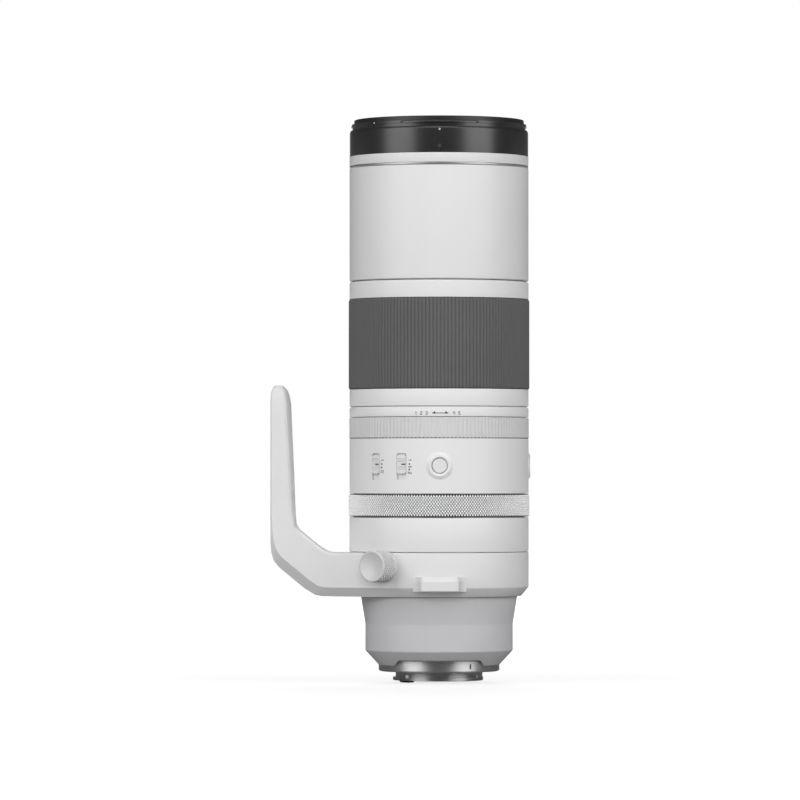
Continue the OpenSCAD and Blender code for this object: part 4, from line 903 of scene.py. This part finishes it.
low, high = k["low"] + 1.0, k["high"] - 0.9
rimRadius, dishTop, dishSteps = k["radius"] - k["rim"], k["high"] - 0.15, 8
dish = []
for i in range(dishSteps):
    share = 1 - i / dishSteps
    dish.append((rimRadius * share, dishTop - k["dish"] * (1 - share ** 2)))
knobShape = turnProfile([(0.001, k["low"]), (k["radius"] - 1.0, k["low"]),
    (k["radius"] - 0.45, k["low"] + 0.45)] + knurlSide(k, low, high) + [(k["radius"] - 0.2, k["high"] - 0.45),
    (k["radius"] - 0.6, k["high"] - 0.05), (rimRadius + 0.35, k["high"])] + dish
    + [(0.001, dishTop - k["dish"])], steps=k["columns"] * 2)
knurl(knobShape, k, low, high)
move(knobShape, aimKnob)
finishPiece("lockKnob", knobShape, "lock_knob", "knobPlastic", ["lock_knob"], sharp=16)
print("tripod collar and knob made")

# Strap lugs: half of the plan, then how far each level's nose draws back

strapLug = {"plan": ((15.0, 47.65), (15.0, 49.2), (13.7, 50.0), (12.6, 51.3), (11.9, 53.0), (11.5, 54.8),
    (11.2, 56.3), (10.8, 57.3), (10.1, 57.95), (9.2, 58.2)), "levels": ((46.1, 0.6), (46.5, 0.2), (46.9, 0),
    (51.75, 0), (51.95, 0.08), (54.4, 1.95), (54.6, 2.3)), "seat": 49.2, "out": 58.2, "narrowing": 0.04,
    "slot": 10, "slotFrom": 51.15, "slotTo": 55.8, "corner": 1.2}
g = strapLug
for name, turn in (("frontLug", 0), ("backLug", 180)):
    lugShape = bmesh.new()
    plan = [(x, -y) for x, y in g["plan"]] + [(-x, -y) for x, y in reversed(g["plan"])]
    face = lugShape.faces.new([lugShape.verts.new((x * mm, y * mm, 0)) for x, y in plan])
    flatPlan = [v.co.copy() for v in face.verts]
    for i, (height, inset) in enumerate(g["levels"]):
        if i:
            grown = bmesh.ops.extrude_face_region(lugShape, geom=[face])["geom"]
            face = next(item for item in grown if isinstance(item, bmesh.types.BMFace))
        for v, flat in zip(face.verts, flatPlan):
            away = inset * max(0, (-flat.y / mm - g["seat"]) / (g["out"] - g["seat"]))
            v.co = (flat.x * (1 - g["narrowing"] * away), flat.y + away * mm, height * mm)
    move(lugShape, turned(turn))
    lug = addObject(name, lugShape, material["collarPaint"])
    slotShape = bmesh.new()
    addBox(slotShape, (2 * g["slot"], g["slotTo"] - g["slotFrom"], 30), placed(0,
        -(g["slotFrom"] + g["slotTo"]) / 2, 50))
    upright = [edge for edge in slotShape.edges if abs(edge.verts[0].co.z - edge.verts[1].co.z) > 0.01]
    bevelEdges(slotShape, upright, g["corner"], 5)
    move(slotShape, turned(turn))
    cutWith(lug, slotShape)
    keepShading(lug, 30)
    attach(lug, "tripod_collar")
    if turn == 0:
        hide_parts("strap_lugs")
print("strap lugs made")

# Switch panel: barrel ring with cut slots and button holes

panel = {"bore": 49.95, "inner": 49.2, "land": 3, "slot": (6.0, 15.1), "corner": 1.2, "slotZ": 116.55,
    "focusTurn": 225.2, "stabiliserTurn": 245.1, "buttonZ": 117.0, "holeRadius": 6.2, "lip": 0.3}
n = panel
low, high = seamLine["panel"] + seamLine["gap"], seamLine["tension"]
panelShape = turnProfile([(n["inner"], low), (barrelRadius, low), (barrelRadius, high), (n["inner"], high),
    (n["inner"], high - n["land"]), (n["bore"], high - n["land"]), (n["bore"], low + n["land"]),
    (n["inner"], low + n["land"])], steps=360, rounds={n["lip"]: [1, 2]})
switchPanel = finishPiece("switchPanel", panelShape, "barrel", "whitePaint", ["switch_panel"])


# rounded bar drawn flat: x along the girth, z up the axis, from y0 to y1 outwards
def roundedBar(width, height, corner, y0, y1, steps=5):
    bm = bmesh.new()
    bmesh.ops.create_grid(bm, x_segments=1, y_segments=1, size=0.5, matrix=turned(90, "X"))
    bmesh.ops.scale(bm, verts=bm.verts, vec=(width * mm, 1, height * mm))
    grown = bmesh.ops.extrude_face_region(bm, geom=bm.faces[:])["geom"]
    bmesh.ops.translate(bm, verts=bm.verts, vec=(0, y0 * mm, 0))
    lifted = [item for item in grown if isinstance(item, bmesh.types.BMVert)]
    bmesh.ops.translate(bm, verts=lifted, vec=(0, (y1 - y0) * mm, 0))
    upright = [e for e in bm.edges if abs(e.verts[0].co.y - e.verts[1].co.y) > 0.5 * abs(y1 - y0) * mm]
    bevelEdges(bm, upright, corner, steps)
    bmesh.ops.recalc_face_normals(bm, faces=bm.faces)
    return bm


for turn in (n["focusTurn"], n["stabiliserTurn"]):
    slotCut = roundedBar(n["slot"][0], n["slot"][1], n["corner"], -4, 2)
    wrapRound(slotCut, barrelRadius, turn, n["slotZ"])
    cutWith(switchPanel, slotCut)
buttons = {"front": frontAngle, "side": 0}
for turn in buttons.values():
    cutRod(switchPanel, n["holeRadius"], 12, 64, aimOut(turn, n["buttonZ"], 51))
keepShading(switchPanel)

# flared bosses, turned flat about the outward axis and then wrapped on the barrel, and the buttons in them
buttonBoss = [(8.3, -0.25), (8.1, -0.02), (7.75, 0.05), (7.3, 0.2), (6.85, 0.48), (6.5, 0.74), (6.15, 0.91),
    (5.7, 1.0), (5.2, 0.98), (4.8, 0.86), (4.55, 0.6), (4.48, -0.2), (4.45, -0.3), (4.45, -0.6), (4.45, -1.2),
    (6.6, -1.2), (6.6, -0.9)]
pushButton = [(0.001, 51.5), (1.6, 51.51), (3.0, 51.55), (3.7, 51.58), (4.0, 51.52), (4.12, 51.35),
    (4.15, 51.0), (4.15, 49.5), (5.2, 49.45), (5.2, 49.15), (0.001, 49.15)]
for side, turn in buttons.items():
    bossShape = turnProfile(buttonBoss, steps=96)
    move(bossShape, turned(-90, "X"))
    wrapRound(bossShape, barrelRadius, turn, n["buttonZ"])
    finishPiece(side + "Boss", bossShape, "barrel", "whitePaint", sharp=50)
for side, turn in buttons.items():
    buttonShape = turnProfile(pushButton, steps=72)
    move(buttonShape, aimOut(turn, n["buttonZ"]))
    node = side + "_button"
    finishPiece(side + "Button", buttonShape, node, "switchPlastic", [node], sharp=50)

# Slide switches

slideSwitch = {"width": 5.5, "length": 10.8, "top": 123.3, "proud": 0.35, "foot": -1.6, "corner": 1.1,
    "edge": 0.22, "grooves": (1.4, 2.15, 2.9), "grooveWide": 0.5, "line": (2.6, 0.75),
    "plate": (7.8, 0.4, 18.0)}
w = slideSwitch
middle = w["top"] - w["length"] / 2
for side in ("focus", "stabiliser"):
    node, turn = side + "_switch", n[side + "Turn"]
    headShape = roundedBar(w["width"], w["length"], w["corner"], w["foot"], w["proud"])
    rim = [e for e in headShape.edges if all(v.co.y > (w["proud"] - 0.01) * mm for v in e.verts)]
    bevelEdges(headShape, rim, w["edge"], 2)
    head = addObject(side + "Switch", headShape, material["switchPlastic"])
    grooveShape = bmesh.new()
    for offset in w["grooves"]:
        for height in (offset, -offset):
            addBox(grooveShape, (10, w["grooveWide"], w["grooveWide"]),
                placed(0, w["proud"], height) @ turned(45, "X"))
    cutWith(head, grooveShape)
    headShape = bmesh.new()
    headShape.from_mesh(head.data)
    addBox(headShape, w["plate"], placed(0, w["foot"] - 0.05, -0.2))
    wrapRound(headShape, barrelRadius, turn, middle)
    faceOutwards(headShape)
    headShape.to_mesh(head.data)
    headShape.free()
    keepShading(head, 30)
    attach(head, node)
    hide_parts(node)

    lineShape = roundedBar(w["line"][0], w["line"][1], 0.12, -0.06, 0.02, steps=2)
    move(lineShape, placed((w["width"] - w["line"][0]) / 2 - 0.1, w["proud"], 0))
    wrapRound(lineShape, barrelRadius, turn, middle)
    finishPiece(side + "SwitchLine", lineShape, node, "markBlack")
print("switch panel, buttons and slide switches made")

# Printed marks: thin plates laid round the barrel; plain figures are made of straight strokes

figureStrokes = {"0": ((0, 0, 0, 4), (0, 4, 2, 4), (2, 4, 2, 0), (2, 0, 0, 0)),
    "1": ((0.3, 3.2, 1.1, 4), (1.1, 4, 1.1, 0)), "2": ((0, 4, 2, 4), (2, 4, 2, 2), (2, 2, 0, 2), (0, 2, 0, 0),
    (0, 0, 2, 0)), "3": ((0, 4, 2, 4), (2, 4, 2, 0), (2, 0, 0, 0), (0.4, 2, 2, 2)),
    "4": ((0, 4, 0, 2), (0, 2, 2, 2), (2, 4, 2, 0)), "5": ((2, 4, 0, 4), (0, 4, 0, 2), (0, 2, 2, 2),
    (2, 2, 2, 0), (2, 0, 0, 0))}
marks = {"low": -0.05, "high": 0.02, "figure": 1.7, "figureWide": 0.3, "arrowWide": 0.42}
markMiddle, markThick = (marks["low"] + marks["high"]) / 2, marks["high"] - marks["low"]


def stroke(bm, x0, z0, x1, z1, wide):
    length = math.hypot(x1 - x0, z1 - z0) + wide
    lean = turned(-math.degrees(math.atan2(z1 - z0, x1 - x0)), "Y")
    addBox(bm, (length, markThick, wide), placed((x0 + x1) / 2, markMiddle, (z0 + z1) / 2) @ lean)


def figure(bm, digit, x, z, lying=False):
    unit = marks["figure"] / 4
    for x0, z0, x1, z1 in figureStrokes[digit]:
        ends = (x0 * unit, (z0 - 2) * unit, x1 * unit, (z1 - 2) * unit)
        if lying:
            ends = (ends[1], unit - ends[0], ends[3], unit - ends[2])
        stroke(bm, x + ends[0], z + ends[1], x + ends[2], z + ends[3], marks["figureWide"])


# a flat drawing of dots (x, z, radius), strokes (x, z, x, z, width) and lying figures (digit, x, z)
def drawMarks(dots=(), strokes=(), lying=()):
    bm = bmesh.new()
    for x, z, radius in dots:
        addRod(bm, radius, markThick, 24, placed(x, markMiddle, z) @ turned(90, "X"))
    for ends in strokes:
        stroke(bm, *ends)
    for digit, x, z in lying:
        figure(bm, digit, x, z, lying=True)
    return bm


def printMarks(name, drawings, height, radius=barrelRadius, body="barrel",
        finish="markBlack"):
    printed = bmesh.new()
    for turn, drawing in drawings:
        wrapRound(drawing, radius, turn, height)
        joinMesh(printed, drawing)
    finishPiece(name, printed, body, finish)


focusMarks = drawMarks(dots=[(0.1, 0, 0.48), (0.1, -3.1, 0.48)], strokes=[(-0.3, -1.6, 1.1, -1.6, 0.55)],
    lying=[("1", 0.4, 2.2), ("2", 0.4, -5.0)])
printMarks("focusMarks", [(n["stabiliserTurn"] + 5.35, focusMarks)], 118.0)
stabiliserMarks = drawMarks(dots=[(0, 0, 0.5), (0, -1.9, 0.5)], lying=[("1", 0.4, 2.2), ("0", 0.4, -4.2)])
printMarks("stabiliserMarks", [(n["focusTurn"] + 5.2, stabiliserMarks)], 118.0)

# stiffness scale on the label band: a double arrow between plain figures
wide = marks["arrowWide"]
labelMarks = drawMarks(strokes=[(-3.0, 0, 3.0, 0, wide)])
for side in (1, -1):
    stroke(labelMarks, side * 4.3, 0, side * 3.0, 0.75, wide)
    stroke(labelMarks, side * 4.3, 0, side * 3.0, -0.2, wide)
    stroke(labelMarks, side * 4.0, 0.1, side * 3.0, 0.2, wide)
for digit, x in (("1", -14.2), ("2", -11.2), ("3", -8.2), ("4", 7.4), ("5", 10.4)):
    figure(labelMarks, digit, x, 0)
printMarks("labelMarks", [(frontAngle + 0.4, labelMarks)], 146.7)

# mounting index on the bayonet flange, hood marks, a painted highlight dot by the left tab, and screw holes on
# the hood ring
indexMark = drawMarks(strokes=[(0, -1.0, 0, 1.0, 1.0)])
printMarks("mountIndex", [(frontAngle + 30.5, indexMark)], 3.4, 34.5, "barrel", "markRed")
hoodDot, tabDot = drawMarks(dots=[(0, 0, 0.62)]), drawMarks(dots=[(0, 0, 0.5)])
printMarks("hoodDot", [(frontAngle, hoodDot)], 306.6, h["radius"], "front_group", "markPale")
# a pale dot where the left bayonet tab ends: painted highlight
printMarks("tabDot", [(frontAngle - 47.6, tabDot)], 311.0, h["neck"], "front_group", "markPale")
hoodHoles = [(frontAngle + i * 60, drawMarks(dots=[(0, 0, 0.8 if i else 1.05)])) for i in range(6)]
printMarks("hoodHoles", hoodHoles, 297.2, h["radius"], "front_group", "markBlack")

# tripod collar index at the right, and the matching marks on the rear band
printMarks("collarMark", [(0, drawMarks(strokes=[(0, -1.2, 0, 1.2, 0.6)]))], 65.4, body="tripod_collar")
printMarks("bandMarks", [(turn, drawMarks(strokes=[(0, -1.0, 0, 1.0, 0.6)])) for turn in (0, 90, 180)], 70.6)
print("marks made")
